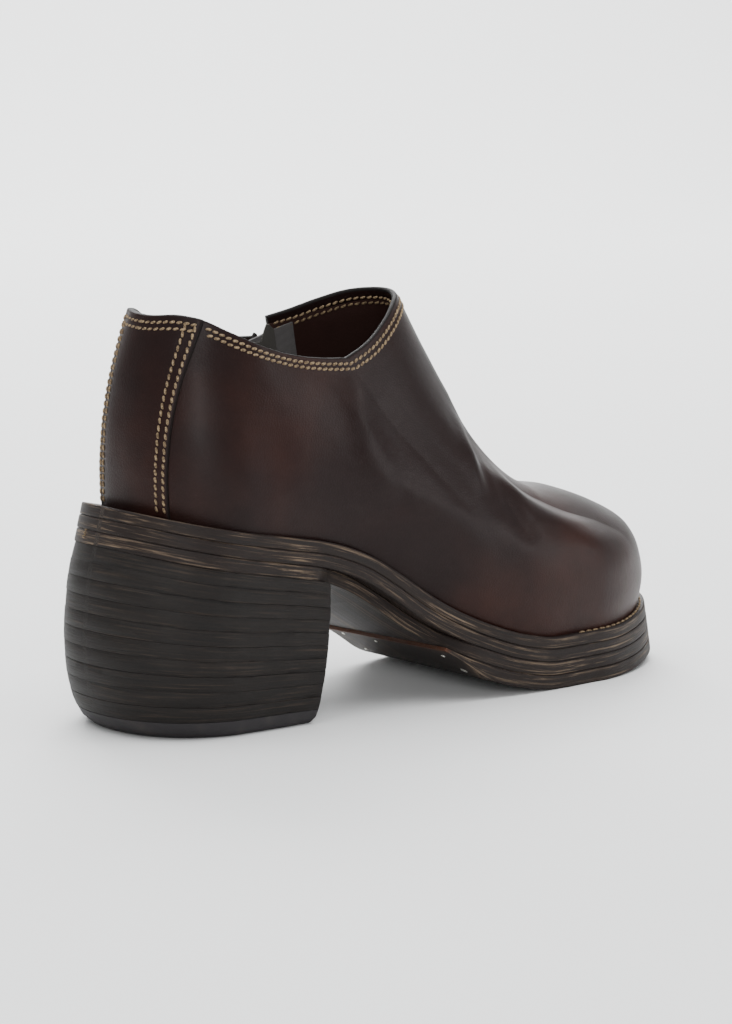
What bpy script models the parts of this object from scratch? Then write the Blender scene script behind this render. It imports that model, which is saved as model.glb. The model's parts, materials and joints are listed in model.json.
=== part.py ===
"""A right shoe: a closed leather ankle shoe on a stacked block heel, with a zip on its inner side.

Run it with blender --background --python part.py. Metres, +X to the toe, +Y to the inner side, +Z up,
and the origin on the floor under the middle of the shoe.
"""

import math

import bmesh
import bpy
import numpy as np
from mathutils import Matrix, Vector
from mathutils.bvhtree import BVHTree

# Driving dimensions, in metres. Places along the shoe are measured from the back of the sole.
SOLE_LENGTH = 0.246
BALL_WIDTH = 0.083
HEEL_SEAT_HEIGHT = 0.0805
FOREFOOT_HEIGHT = 0.0195
TOE_SPRING = 0.0055
WELT_LEDGE = 0.0045
HEEL_LEDGE = 0.0095
GAP = 0.0003

WELT_THICKNESS = 0.0044
MIDSOLE_THICKNESS = 0.0048
OUTSOLE_THICKNESS = 0.0050
HALF_SOLE_START = 0.132
HALF_SOLE_SKEW = 0.008
WAIST_INSET = 0.0060
WAIST_START = 0.27
WAIST_END = 0.64
SOLE_EDGE_ROUND = 0.0008

HEEL_LIFTS = 10
TOP_PIECE_THICKNESS = 0.0060
HEEL_HALF_WIDTH = 0.0385
HEEL_LENGTH = 0.0725
HEEL_BREAST_HOLLOW = 0.0015
HEEL_CORNER = 0.0015
HEEL_BACK_ROUND = 1.04

WALL = 0.0022
COLLAR_BACK = 0.0198
COLLAR_LENGTH = 0.1057
COLLAR_HALF_WIDTH = 0.0275
COLLAR_BOW = 0.10
COLLAR_BACK_ROUND = 0.26
COLLAR_FRONT_ROUND = 0.42
COLLAR_SQUARENESS = 2.0
COLLAR_BACK_HEIGHT = 0.1462
COLLAR_FRONT_HEIGHT = 0.1470
OUTER_DIP_HEIGHT = 0.1280
INNER_DIP_HEIGHT = 0.1365
INNER_REAR_HEIGHT = 0.1300
SWELL = 0.0055

STRIP_OUTER_REACH = 0.0170
STRIP_INNER_REACH = 0.0130
STRIP_THICKNESS = 0.0012
STRIP_LIFT = 0.0005
INSOLE_THICKNESS = 0.0024
INSOLE_LIFT = 0.00045

ZIP_BOTTOM_X = 0.1130
ZIP_BOTTOM_HEIGHT = 0.0650
ZIP_SLIT = 0.0064
SLIT_NEAR = 0.006
SLIT_FAR = 0.080
ZIP_POINT = 0.0045
ZIP_TAPE_WIDTH = 0.0220
ZIP_TAPE_THICKNESS = 0.0008
ZIP_TAPE_DEPTH = 0.0008
ZIP_TAPE_START = 0.0040
ZIP_TAPE_STATIONS = 24
ZIP_TAPE_SIDES = (-1, -0.28, 0.28, 1)
ZIP_TEETH_WIDTH = 0.0046
ZIP_TEETH_NOTCH = 0.0007
ZIP_TEETH_RECESS = 0.0004
ZIP_PITCH = 0.0024
ZIP_STOP_LENGTH = 0.0050
SLIDER_START = 0.0090
SLIDER_LENGTH = 0.0110
SLIDER_WIDTH = 0.0088
SLIDER_THICKNESS = 0.0022
SLIDER_LIFT = 0.0007
BAIL_LENGTH = 0.0060
BAIL_RISE = 0.0034
BAIL_WIDTH = 0.0024
BAIL_THICKNESS = 0.0010
PULL_LENGTH = 0.0245
PULL_WIDTH = 0.0064
PULL_NECK = 0.0030
PULL_THICKNESS = 0.0013
PULL_AXLE = 0.0012
PULL_EYE_END = 0.0060
PULL_BAR_START = 0.0150

# Columns around each half of the upper: across the strip, to the dip of the collar, and to the toe.
STRIP_COLUMNS = 4
QUARTER_COLUMNS = 15
VAMP_COLUMNS = 15
RINGS = 15
DIP_STEP = 0.05
SOLE_COLUMNS = 72
HEEL_COLUMNS = 16
FACET = 0.0115

# Half widths of the lining's lower edge, as shares of half the ball width, along the sole.
OUTLINE = {
    "along": (0.00, 0.14, 0.30, 0.45, 0.60, 0.70, 0.79, 0.89, 1.00),
    "outer": (0.74, 0.78, 0.79, 0.84, 0.96, 1.00, 1.00, 0.96, 0.92),
    "inner": (0.74, 0.78, 0.77, 0.76, 0.86, 0.95, 1.00, 0.98, 0.92),
}
HEEL_ROUND = 0.135
TOE_ROUND = 0.205
HEEL_SQUARENESS = 2.2
TOE_SQUARENESS = 2.1
TOE_TIP_SHIFT = 0.045
TOE_TIP_START = 0.62

# The sole's top: its drop from the heel seat to the forefoot, along the sole.
SOLE_LINE = {
    "along": (-0.08, 0.00, 0.07, 0.142, 0.215, 0.289, 0.36, 0.415, 0.472, 0.528, 0.585, 0.646, 0.707, 0.80),
    "drop": (-0.085, 0.00, 0.074, 0.139, 0.195, 0.255, 0.359, 0.49, 0.648, 0.779, 0.88, 0.96, 1.00, 1.00),
}
SPRING_START = 0.80

# Collar height from its dip to its back and front ends: 0 at the dip and 1 at the end.
COLLAR_REAR = {
    "along": (0.00, 0.05, 0.11, 0.25, 0.45, 0.65, 0.85, 1.00),
    "rise": (0.95, 1.00, 0.96, 0.70, 0.36, 0.15, 0.04, 0.00),
}
COLLAR_FORE = {
    "along": (0.00, 0.30, 0.60, 0.85, 1.00),
    "rise": (0.00, 0.24, 0.60, 0.90, 1.00),
}
OUTER_DIP = 0.620
INNER_DIP = 0.667
DIP_SHARE = 0.022

# Ribs of the last, from the sole to the collar: where each one stands, in degrees around from the back,
# and its run, its rise and its swell, as shares of the way between the two edges.
RIB_LEVELS = (0.00, 0.10, 0.20, 0.30, 0.42, 0.54, 0.64, 0.76, 0.88, 1.00)
RIBS = (
    {
        "angle": 0,
        "run": (0.00, -0.03, -0.03, 0.00, 0.06, 0.17, 0.30, 0.50, 0.73, 1.00),
        "rise": (0.00, 0.11, 0.21, 0.31, 0.43, 0.55, 0.65, 0.77, 0.89, 1.00),
        "swell": (0.00, 0.00, 0.00, 0.00, 0.00, 0.00, 0.00, 0.00, 0.00, 0.00),
    },
    {
        "angle": 48,
        "run": (0.00, 0.08, 0.17, 0.27, 0.39, 0.52, 0.62, 0.75, 0.88, 1.00),
        "rise": (0.00, 0.11, 0.21, 0.31, 0.43, 0.55, 0.65, 0.77, 0.89, 1.00),
        "swell": (0.00, 0.32, 0.58, 0.72, 0.78, 0.72, 0.60, 0.38, 0.15, 0.00),
    },
    {
        "angle": 88,
        "run": (0.00, 0.04, 0.10, 0.19, 0.30, 0.43, 0.556, 0.704, 0.853, 1.00),
        "rise": (0.00, 0.108, 0.215, 0.323, 0.44, 0.548, 0.65, 0.763, 0.88, 1.00),
        "swell": (0.00, 0.42, 0.76, 0.96, 1.00, 0.86, 0.66, 0.40, 0.16, 0.00),
    },
    {
        "angle": 115,
        "run": (0.00, 0.00, 0.01, 0.06, 0.17, 0.315, 0.46, 0.65, 0.84, 1.00),
        "rise": (0.00, 0.093, 0.183, 0.273, 0.359, 0.449, 0.543, 0.678, 0.84, 1.00),
        "swell": (0.00, 0.35, 0.50, 0.48, 0.34, 0.16, 0.05, 0.00, 0.00, 0.00),
    },
    {
        "angle": 148,
        "run": (0.00, -0.012, 0.002, 0.035, 0.145, 0.295, 0.425, 0.615, 0.815, 1.00),
        "rise": (0.00, 0.09, 0.160, 0.215, 0.270, 0.315, 0.370, 0.505, 0.73, 1.00),
        "swell": (0.00, 0.10, 0.12, 0.08, 0.00, 0.00, 0.00, 0.00, 0.00, 0.00),
    },
    {
        "angle": 180,
        "run": (0.00, -0.010, 0.006, 0.045, 0.15, 0.315, 0.465, 0.645, 0.84, 1.00),
        "rise": (0.00, 0.085, 0.160, 0.225, 0.285, 0.338, 0.367, 0.50, 0.745, 1.00),
        "swell": (0.00, 0.00, 0.00, 0.00, 0.00, 0.00, 0.00, 0.00, 0.00, 0.00),
    },
)

# The heel block from the floor up, as shares of its height, half width and length.
HEEL_SHAPE = {
    "height": (0.00, 0.03, 0.08, 0.16, 0.30, 0.48, 0.70, 0.88, 1.00),
    "width": (0.90, 0.93, 0.955, 0.975, 0.995, 1.00, 0.985, 0.965, 0.955),
    "breast": (0.890, 0.905, 0.915, 0.925, 0.94, 0.96, 0.98, 0.995, 1.00),
    "back": (0.040, -0.005, -0.040, -0.075, -0.105, -0.117, -0.105, -0.080, -0.050),
}

COLOURS = {
    "upper leather": ((0.035, 0.018, 0.015), 0.42, 0.0),
    "sole leather": ((0.060, 0.045, 0.034), 0.62, 0.0),
    "heel leather": ((0.030, 0.025, 0.021), 0.66, 0.0),
    "insole leather": ((0.090, 0.060, 0.040), 0.70, 0.0),
    "top piece rubber": ((0.022, 0.020, 0.021), 0.78, 0.0),
    "zip cloth": ((0.030, 0.028, 0.028), 0.90, 0.0),
    "zip metal": ((0.520, 0.490, 0.430), 0.38, 1.0),
}


def curve(along, values, at):
    """A smooth curve through a table's points that never overshoots them."""
    x = np.asarray(along, float)
    y = np.asarray(values, float)
    step = np.diff(x)
    slope = np.diff(y) / step
    before, after = slope[:-1], slope[1:]
    turns = before * after <= 0
    first = 2 * step[1:] + step[:-1]
    second = step[1:] + 2 * step[:-1]
    below = np.where(turns, 1.0, first * after + second * before)
    inside = np.where(turns, 0.0, (first + second) * before * after / below)
    tangent = np.concatenate([slope[:1], inside, slope[-1:]])
    at = np.clip(np.asarray(at, float), x[0], x[-1])
    i = np.clip(np.searchsorted(x, at, side="right") - 1, 0, len(step) - 1)
    t = (at - x[i]) / step[i]
    start = y[i] * (1 + 2 * t) * (1 - t) ** 2 + tangent[i] * step[i] * t * (1 - t) ** 2
    end = y[i + 1] * t * t * (3 - 2 * t) - tangent[i + 1] * step[i] * t * t * (1 - t)
    return start + end


def ease(share):
    share = np.clip(share, 0, 1)
    return share * share * (3 - 2 * share)


def rounded(share, reach, squareness):
    """0 at the end of an outline, and 1 from the given reach on."""
    inside = np.clip(1 - share / reach, 0, 1)
    return (1 - inside**squareness) ** (1 / squareness)


def around(angle):
    """How far along the shoe an angle from its back lies, and on which side: -1 outer, 1 inner."""
    return (1 - np.cos(angle)) / 2, np.where(np.sin(angle) < 0, 1.0, -1.0)


def half_width(share, side):
    """Half width of the lining's lower edge."""
    outer = curve(OUTLINE["along"], OUTLINE["outer"], share)
    inner = curve(OUTLINE["along"], OUTLINE["inner"], share)
    ends = rounded(share, HEEL_ROUND, HEEL_SQUARENESS) * rounded(1 - share, TOE_ROUND, TOE_SQUARENESS)
    return np.where(side < 0, outer, inner) * ends * BALL_WIDTH / 2


def middle_line(share):
    """The toe's tip stands a little to the inner side."""
    return TOE_TIP_SHIFT * BALL_WIDTH * ease((share - TOE_TIP_START) / (1 - TOE_TIP_START))


def sole_top(x):
    """Height of the sole's top above the floor."""
    drop = curve(SOLE_LINE["along"], SOLE_LINE["drop"], x / SOLE_LENGTH)
    spring = np.clip((x / SOLE_LENGTH - SPRING_START) / (1 - SPRING_START), 0, 1.2)
    return HEEL_SEAT_HEIGHT + (FOREFOOT_HEIGHT - HEEL_SEAT_HEIGHT) * drop + TOE_SPRING * spring**2


def under_sole(x, y, depth):
    """Points at a depth below the sole's top, square to its curve."""
    step = 0.0005
    slope = (sole_top(x + step) - sole_top(x - step)) / (2 * step)
    length = np.sqrt(1 + slope**2)
    return np.stack([x + slope / length * depth, y, sole_top(x) - depth / length], -1)


def seat_clearance(x):
    """The gap over the sole's top, with room for the flats between the points of two pieces."""
    step = 0.002
    bend = (sole_top(x + step) - 2 * sole_top(x) + sole_top(x - step)) / step**2
    return GAP + np.abs(bend) * FACET**2 / 8


def sole_depth():
    """Thickness of the three long layers."""
    return WELT_THICKNESS + MIDSOLE_THICKNESS + OUTSOLE_THICKNESS


def collar_height(share, side):
    dip = np.where(side < 0, OUTER_DIP, INNER_DIP)
    behind_low = np.where(side < 0, OUTER_DIP_HEIGHT, INNER_REAR_HEIGHT)
    before_low = np.where(side < 0, OUTER_DIP_HEIGHT, INNER_DIP_HEIGHT)
    rear = curve(COLLAR_REAR["along"], COLLAR_REAR["rise"], share / dip)
    fore = curve(COLLAR_FORE["along"], COLLAR_FORE["rise"], (share - dip) / (1 - dip))
    behind = behind_low + (COLLAR_BACK_HEIGHT - behind_low) * rear
    before = before_low + (COLLAR_FRONT_HEIGHT - before_low) * fore
    return behind + (before - behind) * ease(1 + (share - dip) / DIP_SHARE)


def lower_edge(angle):
    share, side = around(angle)
    x = HEEL_LEDGE + (SOLE_LENGTH - HEEL_LEDGE - WELT_LEDGE) * share
    y = middle_line(share) + side * half_width(share, side)
    return np.stack([x, y, sole_top(x) + seat_clearance(x)], -1)


def collar_edge(angle):
    share, side = around(angle)
    x = COLLAR_BACK + COLLAR_LENGTH * share
    back = rounded(share, COLLAR_BACK_ROUND, COLLAR_SQUARENESS)
    front = rounded(1 - share, COLLAR_FRONT_ROUND, COLLAR_SQUARENESS)
    bow = 1 - COLLAR_BOW + COLLAR_BOW * np.sin(np.pi * share)
    y = side * COLLAR_HALF_WIDTH * back * front * bow
    return np.stack([x, y, collar_height(share, side)], -1)


def rib_share(column, angle, level):
    """Reads the table of ribs at an angle around the shoe and a level between the two edges."""
    turned = np.degrees(np.abs(np.remainder(angle + np.pi, 2 * np.pi) - np.pi))
    rows = [curve(RIB_LEVELS, rib[column], level) for rib in RIBS]
    found = rows[0]
    for i in range(len(RIBS) - 1):
        start, end = RIBS[i]["angle"], RIBS[i + 1]["angle"]
        part = (turned - start) / (end - start)
        blend = (part + ease(part)) / 2
        found = np.where(part > 0, rows[i] * (1 - blend) + rows[i + 1] * blend, found)
    return found


def upper_face(angle, level):
    """The upper's lining face: ribs run from the sole to the collar and swell outwards."""
    low = lower_edge(angle)
    top = collar_edge(angle)
    run = rib_share("run", angle, level)
    rise = rib_share("rise", angle, level)
    point = low + (top - low) * np.stack([run, run, rise], -1)
    step = 1e-3
    along = lower_edge(angle - step) - lower_edge(angle + step)
    outward = np.stack([-along[..., 1], along[..., 0], np.zeros_like(angle)], -1)
    outward /= np.linalg.norm(outward, axis=-1, keepdims=True)
    return point + outward * (SWELL * rib_share("swell", angle, level))[..., None]


def upper_point(angle, level, out=0.0):
    """A point of the upper's lining face, or of a face set out from it."""
    angle, level = np.broadcast_arrays(np.asarray(angle, float), np.asarray(level, float))
    step = 2e-3
    across = upper_face(angle + step, level) - upper_face(angle - step, level)
    higher, lower = np.clip(level + step, 0, 1), np.clip(level - step, 0, 1)
    upward = upper_face(angle, higher) - upper_face(angle, lower)
    normal = np.cross(across, upward)
    normal /= np.linalg.norm(normal, axis=-1, keepdims=True)
    return upper_face(angle, level) + normal * out


def strip_angles(levels, reach, side):
    """The angle around the shoe at which one side of the back strip ends, for each level."""
    angles = side * np.linspace(0.02, 1.4, 120)
    widths = np.abs(upper_face(angles[None, :], levels[:, None])[..., 1])
    return np.array([np.interp(reach, row, angles) for row in widths])


def column_angles(levels):
    """A row of column angles for each level, once around from the back over the outer side."""
    rows = []
    outer = strip_angles(levels, STRIP_OUTER_REACH, 1)
    inner = -strip_angles(levels, STRIP_INNER_REACH, -1)
    for edges in zip(outer, inner):
        halves = []
        for edge, dip in zip(edges, (OUTER_DIP, INNER_DIP)):
            corner = math.acos(1 - 2 * dip)
            strip = np.linspace(0, edge, STRIP_COLUMNS, endpoint=False)
            quarter = np.linspace(edge, corner - DIP_STEP, QUARTER_COLUMNS)
            vamp = np.linspace(corner, math.pi, VAMP_COLUMNS, endpoint=False)
            halves.append(np.concatenate([strip, quarter, vamp]))
        rows.append(np.concatenate([halves[0], [math.pi], 2 * math.pi - halves[1][:0:-1]]))
    return np.array(rows)


def material(name):
    found = bpy.data.materials.get(name)
    if found:
        return found
    colour, roughness, metallic = COLOURS[name]
    found = bpy.data.materials.new(name)
    found.use_nodes = True
    shader = found.node_tree.nodes["Principled BSDF"]
    shader.inputs["Base Color"].default_value = (*colour, 1.0)
    shader.inputs["Roughness"].default_value = roughness
    shader.inputs["Metallic"].default_value = metallic
    return found


def make_object(name, points, faces, finish):
    """One closed piece, with its faces turned outwards and its sharp edges kept."""
    mesh = bpy.data.meshes.new(name)
    mesh.from_pydata([tuple(map(float, point)) for point in points], [], faces)
    form = bmesh.new()
    form.from_mesh(mesh)
    bmesh.ops.recalc_face_normals(form, faces=form.faces)
    form.to_mesh(mesh)
    form.free()
    mesh.materials.append(material(finish))
    mesh.shade_smooth()
    mesh.set_sharp_from_angle(angle=math.radians(35))
    piece = bpy.data.objects.new(name, mesh)
    bpy.context.scene.collection.objects.link(piece)
    return piece


def apply_boolean(piece, other, operation):
    """Joins another form to a piece or cuts it out, and removes the other form."""
    change = piece.modifiers.new(operation.lower(), "BOOLEAN")
    change.operation = operation
    change.solver = "EXACT"
    change.object = other
    other.hide_render = True
    bpy.context.view_layer.update()
    result = piece.evaluated_get(bpy.context.evaluated_depsgraph_get())
    mesh = bpy.data.meshes.new_from_object(result)
    piece.modifiers.clear()
    piece.data = mesh
    bpy.data.objects.remove(other, do_unlink=True)


def grid_shell(outer, inner, closed):
    """Points and faces between two grids of rows and columns, joined along their open edges."""
    rows, columns = outer.shape[:2]
    shift = rows * columns
    last = columns if closed else columns - 1
    faces = []
    for j in range(rows - 1):
        for i in range(last):
            k = (i + 1) % columns
            quad = (j * columns + i, j * columns + k, (j + 1) * columns + k, (j + 1) * columns + i)
            faces.append(quad)
            faces.append(tuple(shift + n for n in reversed(quad)))
    rims = [(j * columns + i, j * columns + (i + 1) % columns) for j in (0, rows - 1) for i in range(last)]
    if not closed:
        rims += [(j * columns + i, (j + 1) * columns + i) for i in (0, columns - 1) for j in range(rows - 1)]
    faces += [(a, b, shift + b, shift + a) for a, b in rims]
    return np.concatenate([outer.reshape(-1, 3), inner.reshape(-1, 3)]), faces


def stacked(outlines):
    """A solid from like outlines, one above another, closed by strips from side to side.

    Each outline starts at a single point at one end of the shoe, goes along the outer side, across the
    other end and back along the inner side.
    """
    count = len(outlines[0])
    faces = []
    for j in range(len(outlines) - 1):
        for i in range(count):
            k = (i + 1) % count
            faces.append((j * count + i, j * count + k, (j + 1) * count + k, (j + 1) * count + i))
    for base in (0, (len(outlines) - 1) * count):
        left, right = 1, count - 1
        faces.append((base, base + left, base + right))
        while right - left > 2:
            low, high = base + left, base + right
            faces.append((low, low + 1, high - 1, high))
            left, right = left + 1, right - 1
        if right - left == 2:
            faces.append((base + left, base + left + 1, base + right))
    return np.concatenate(outlines), faces


def waist_inset(x):
    """How far the long outer layer is set in from the edge along the waist."""
    share = x / SOLE_LENGTH
    return WAIST_INSET * ease((share - WAIST_START) / 0.06) * ease((WAIST_END - share) / 0.14)


def sole_outline(set_in, depth, waisted):
    """The whole outline of a sole layer, set in from the sole's edge."""
    angle = np.linspace(0, 2 * math.pi, SOLE_COLUMNS, endpoint=False)
    share, side = around(angle)
    x = set_in + (SOLE_LENGTH - 2 * set_in) * share
    y = half_width(share, side) + (WELT_LEDGE - set_in) * edge_share(share)
    if waisted:
        y = y - np.minimum(waist_inset(x), y)
    return under_sole(x, middle_line(share) + side * y, depth)


def edge_share(share):
    """The ledge around the upper fades out at the two end points of an outline."""
    return rounded(share, HEEL_ROUND, HEEL_SQUARENESS) * rounded(1 - share, TOE_ROUND, TOE_SQUARENESS)


def edge_levels(top, bottom):
    """How far in and how deep the outlines of a layer with eased edges lie."""
    ease_in = SOLE_EDGE_ROUND
    return ((ease_in, top), (0, top + ease_in), (0, bottom - ease_in), (ease_in, bottom))


def sole_layer(name, top, thickness, waisted=False):
    levels = edge_levels(top, top + thickness - GAP)
    outlines = [sole_outline(set_in, depth, waisted) for set_in, depth in levels]
    make_object(name, *stacked(outlines), "sole leather")


def half_sole_outline(set_in, depth):
    """From the toe's tip back along both sides to the step across the waist."""
    columns = SOLE_COLUMNS // 3
    tip = SOLE_LENGTH - set_in
    sides = []
    for side in (-1.0, 1.0):
        back = HALF_SOLE_START + HALF_SOLE_SKEW * side / 2
        x = tip - (tip - back) * (1 - np.cos(np.linspace(0, math.pi / 2, columns)))
        share = (x - set_in) / (SOLE_LENGTH - 2 * set_in)
        y = half_width(share, side) + (WELT_LEDGE - set_in) * edge_share(share)
        sides.append(under_sole(x, middle_line(share) + side * y, depth))
    return np.concatenate([sides[0], sides[1][:0:-1]])


def half_sole():
    levels = edge_levels(sole_depth(), FOREFOOT_HEIGHT)
    make_object("half_sole", *stacked([half_sole_outline(*level) for level in levels]), "sole leather")


def insole():
    angle = np.linspace(0, 2 * math.pi, SOLE_COLUMNS, endpoint=False)
    share, side = around(angle)
    set_in = 2 * GAP
    x = HEEL_LEDGE + set_in + (SOLE_LENGTH - HEEL_LEDGE - WELT_LEDGE - 2 * set_in) * share
    y = middle_line(share) + side * (half_width(share, side) - set_in * edge_share(share))
    outlines = [under_sole(x, y, -INSOLE_LIFT), under_sole(x, y, -INSOLE_LIFT - INSOLE_THICKNESS)]
    make_object("insole", *stacked(outlines), "insole leather")


def heel_seat(x):
    """Height of the sole's underside over the heel block."""
    line = under_sole(np.linspace(-0.03, 0.12, 200), np.zeros(200), sole_depth())
    return np.interp(x, line[:, 0], line[:, 2])


def heel_outline(share, drop):
    """One outline of the heel block at a share of its height, from its back point to its breast."""
    heights = HEEL_SHAPE["height"]
    wide = HEEL_HALF_WIDTH * curve(heights, HEEL_SHAPE["width"], share)
    breast = HEEL_LENGTH * curve(heights, HEEL_SHAPE["breast"], share)
    back = HEEL_LENGTH * curve(heights, HEEL_SHAPE["back"], share)
    turn = np.linspace(0, math.pi / 2, HEEL_COLUMNS)
    x = back + (breast - back) * (1 - np.cos(turn))
    reach = HEEL_BACK_ROUND * wide / (breast - back)
    y = wide * rounded((x - back) / (breast - back), reach, HEEL_SQUARENESS)
    x[-2] = breast - HEEL_CORNER
    y[-1] = wide - HEEL_CORNER
    rim = np.stack([x, -y], -1)
    middle = [[breast - HEEL_BREAST_HOLLOW, 0.0]]
    loop = np.concatenate([rim, middle, (rim * (1, -1))[:0:-1]])
    return np.column_stack([loop, heel_seat(loop[:, 0]) * share - drop])


def heel_block():
    """The lifts are wedges that share out the height between the floor and the heel seat."""
    first = TOP_PIECE_THICKNESS / heel_seat(HEEL_LENGTH / 2)
    shares = np.concatenate([[0.0], np.linspace(first, 1.0, HEEL_LIFTS + 1)])
    for i, (low, high) in enumerate(zip(shares[:-1], shares[1:])):
        name = "heel_top_piece" if i == 0 else f"heel_lift_{i:02d}"
        finish = "top piece rubber" if i == 0 else "heel leather"
        outlines = [heel_outline(low, 0.0), heel_outline((low + high) / 2, GAP / 2), heel_outline(high, GAP)]
        if i == 0:
            outlines.insert(1, heel_outline(low + (high - low) * 0.2, 0.0))
        make_object(name, *stacked(outlines), finish)


def back_strip(levels):
    """The strip over the back seam lies on the upper's outer face, from the sole to the collar."""
    outer = strip_angles(levels, STRIP_OUTER_REACH, 1)
    inner = strip_angles(levels, STRIP_INNER_REACH, -1)
    across = np.linspace(0, 1, 2 * STRIP_COLUMNS + 1)
    angles = inner[:, None] + (outer - inner)[:, None] * across
    lift = WALL + STRIP_LIFT
    under = upper_point(angles, levels[:, None], lift)
    over = upper_point(angles, levels[:, None], lift + STRIP_THICKNESS)
    for face in (under, over):
        face[0, :, 2] = sole_top(face[0, :, 0]) + seat_clearance(face[0, :, 0])
    make_object("back_strip", *grid_shell(over, under, False), "upper leather")


class ZipPath:
    """The line of the zip on the upper's inner side, as seen from that side."""

    def __init__(self, outer):
        rows, columns = outer.shape[:2]
        quads = []
        for j in range(rows - 1):
            for i in range(columns):
                k = (i + 1) % columns
                low, high = j * columns, (j + 1) * columns
                quads.append((low + i, low + k, high + k, high + i))
        self.surface = BVHTree.FromPolygons([tuple(p) for p in outer.reshape(-1, 3)], quads)
        top = (COLLAR_BACK + COLLAR_LENGTH * INNER_DIP, INNER_DIP_HEIGHT)
        self.top = np.array(top)
        run = np.array((ZIP_BOTTOM_X, ZIP_BOTTOM_HEIGHT)) - self.top
        self.length = float(np.linalg.norm(run))
        self.down = run / self.length
        self.across = np.array((-self.down[1], self.down[0]))
        slope = self.point(self.length * 0.8, 0.0, None) - self.point(self.length * 0.2, 0.0, None)
        out = np.cross(np.array((self.across[0], 0.0, self.across[1])), slope)
        self.out = out * np.sign(out[1]) / np.linalg.norm(out)

    def flat(self, along, aside):
        return self.top + self.down * along + self.across * aside

    def point(self, along, aside, out):
        """A point set out from the face of the upper. No distance out gives the face itself."""
        x, z = self.flat(along, aside)
        place = np.array(self.surface.ray_cast(Vector((x, SLIT_FAR, z)), Vector((0, -1, 0)))[0])
        return place if out is None else place + self.out * out

    def ribbon(self, start, end, stations, half_widths, top, bottom, sides=(-1, 1)):
        """A flat bar along the zip between two distances out of the face."""
        along = np.linspace(start, end, stations)
        faces = []
        for out in (top, bottom):
            widths = zip(along, half_widths(along))
            rows = [[self.point(place, wide * side, out) for side in sides] for place, wide in widths]
            faces.append(np.array(rows))
        return grid_shell(faces[0], faces[1], False)


def zip_slit(path):
    """A cutter through the inner wall, open at the collar and pointed at its lower end."""
    half = ZIP_SLIT / 2
    above, shoulder = -0.02, path.length - ZIP_POINT
    outline = ((above, -half), (above, half), (shoulder, half), (path.length, 0), (shoulder, -half))
    places = [path.flat(*corner) for corner in outline]
    cutter = prism("zip_cutter", places, 1, SLIT_NEAR, SLIT_FAR, "zip cloth")
    cutter.display_type = "WIRE"
    return cutter


def zip_pieces(path):
    seat = -(WALL + ZIP_TAPE_DEPTH)
    tape_half = lambda along: np.full(len(along), ZIP_TAPE_WIDTH / 2)
    first, last = ZIP_TAPE_START, path.length + ZIP_TAPE_START
    depth = seat - ZIP_TAPE_THICKNESS
    tape = path.ribbon(first, last, ZIP_TAPE_STATIONS, tape_half, seat, depth, ZIP_TAPE_SIDES)
    make_object("zip_tape", *tape, "zip cloth")
    start = SLIDER_START + SLIDER_LENGTH + GAP
    end = path.length - ZIP_POINT - ZIP_STOP_LENGTH
    stations = 2 * round((end - start) / ZIP_PITCH) + 1
    steps = ZIP_TEETH_WIDTH / 2 - ZIP_TEETH_NOTCH * (np.arange(stations) % 2)
    teeth = path.ribbon(start, end, stations, lambda along: steps, -ZIP_TEETH_RECESS, seat + 2 * GAP)
    make_object("zip_teeth", *teeth, "zip metal")
    stop_half = lambda along: np.full(len(along), ZIP_TEETH_WIDTH / 2)
    stop = path.ribbon(end + GAP, end + ZIP_STOP_LENGTH, 3, stop_half, ZIP_TEETH_RECESS, seat + 2 * GAP)
    make_object("zip_stop", *stop, "zip metal")


def box(name, low, high, finish):
    points = [(x, y, z) for x in (low[0], high[0]) for y in (low[1], high[1]) for z in (low[2], high[2])]
    faces = [(0, 1, 3, 2), (4, 6, 7, 5), (0, 4, 5, 1), (2, 3, 7, 6), (0, 2, 6, 4), (1, 5, 7, 3)]
    return make_object(name, points, faces, finish)


def prism(name, outline, axis, low, high, finish):
    """A flat outline made thick along one of the three directions."""
    count = len(outline)
    points = [np.insert(corner, axis, far) for far in (low, high) for corner in outline]
    faces = [tuple(range(count)), tuple(range(2 * count - 1, count - 1, -1))]
    faces += [(i, (i + 1) % count, count + (i + 1) % count, count + i) for i in range(count)]
    return make_object(name, points, faces, finish)


def slider_frame(path):
    """Where the slider lies: down the zip, across it, and out of the face, from the slider's middle."""
    long, wide = SLIDER_LENGTH / 2, SLIDER_WIDTH / 2
    middle = SLIDER_START + long
    place = path.point(middle, 0.0, None)
    slope = path.point(middle + long, 0.0, None) - path.point(middle - long, 0.0, None)
    out = np.cross(path.point(middle, wide, None) - path.point(middle, -wide, None), slope)
    out *= np.sign(out[1]) / np.linalg.norm(out)
    down = slope / np.linalg.norm(slope)
    frame = Matrix.Identity(4)
    for column, axis in enumerate((down, np.cross(out, down), out, place)):
        for row in range(3):
            frame[row][column] = float(axis[row])
    return frame


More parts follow.
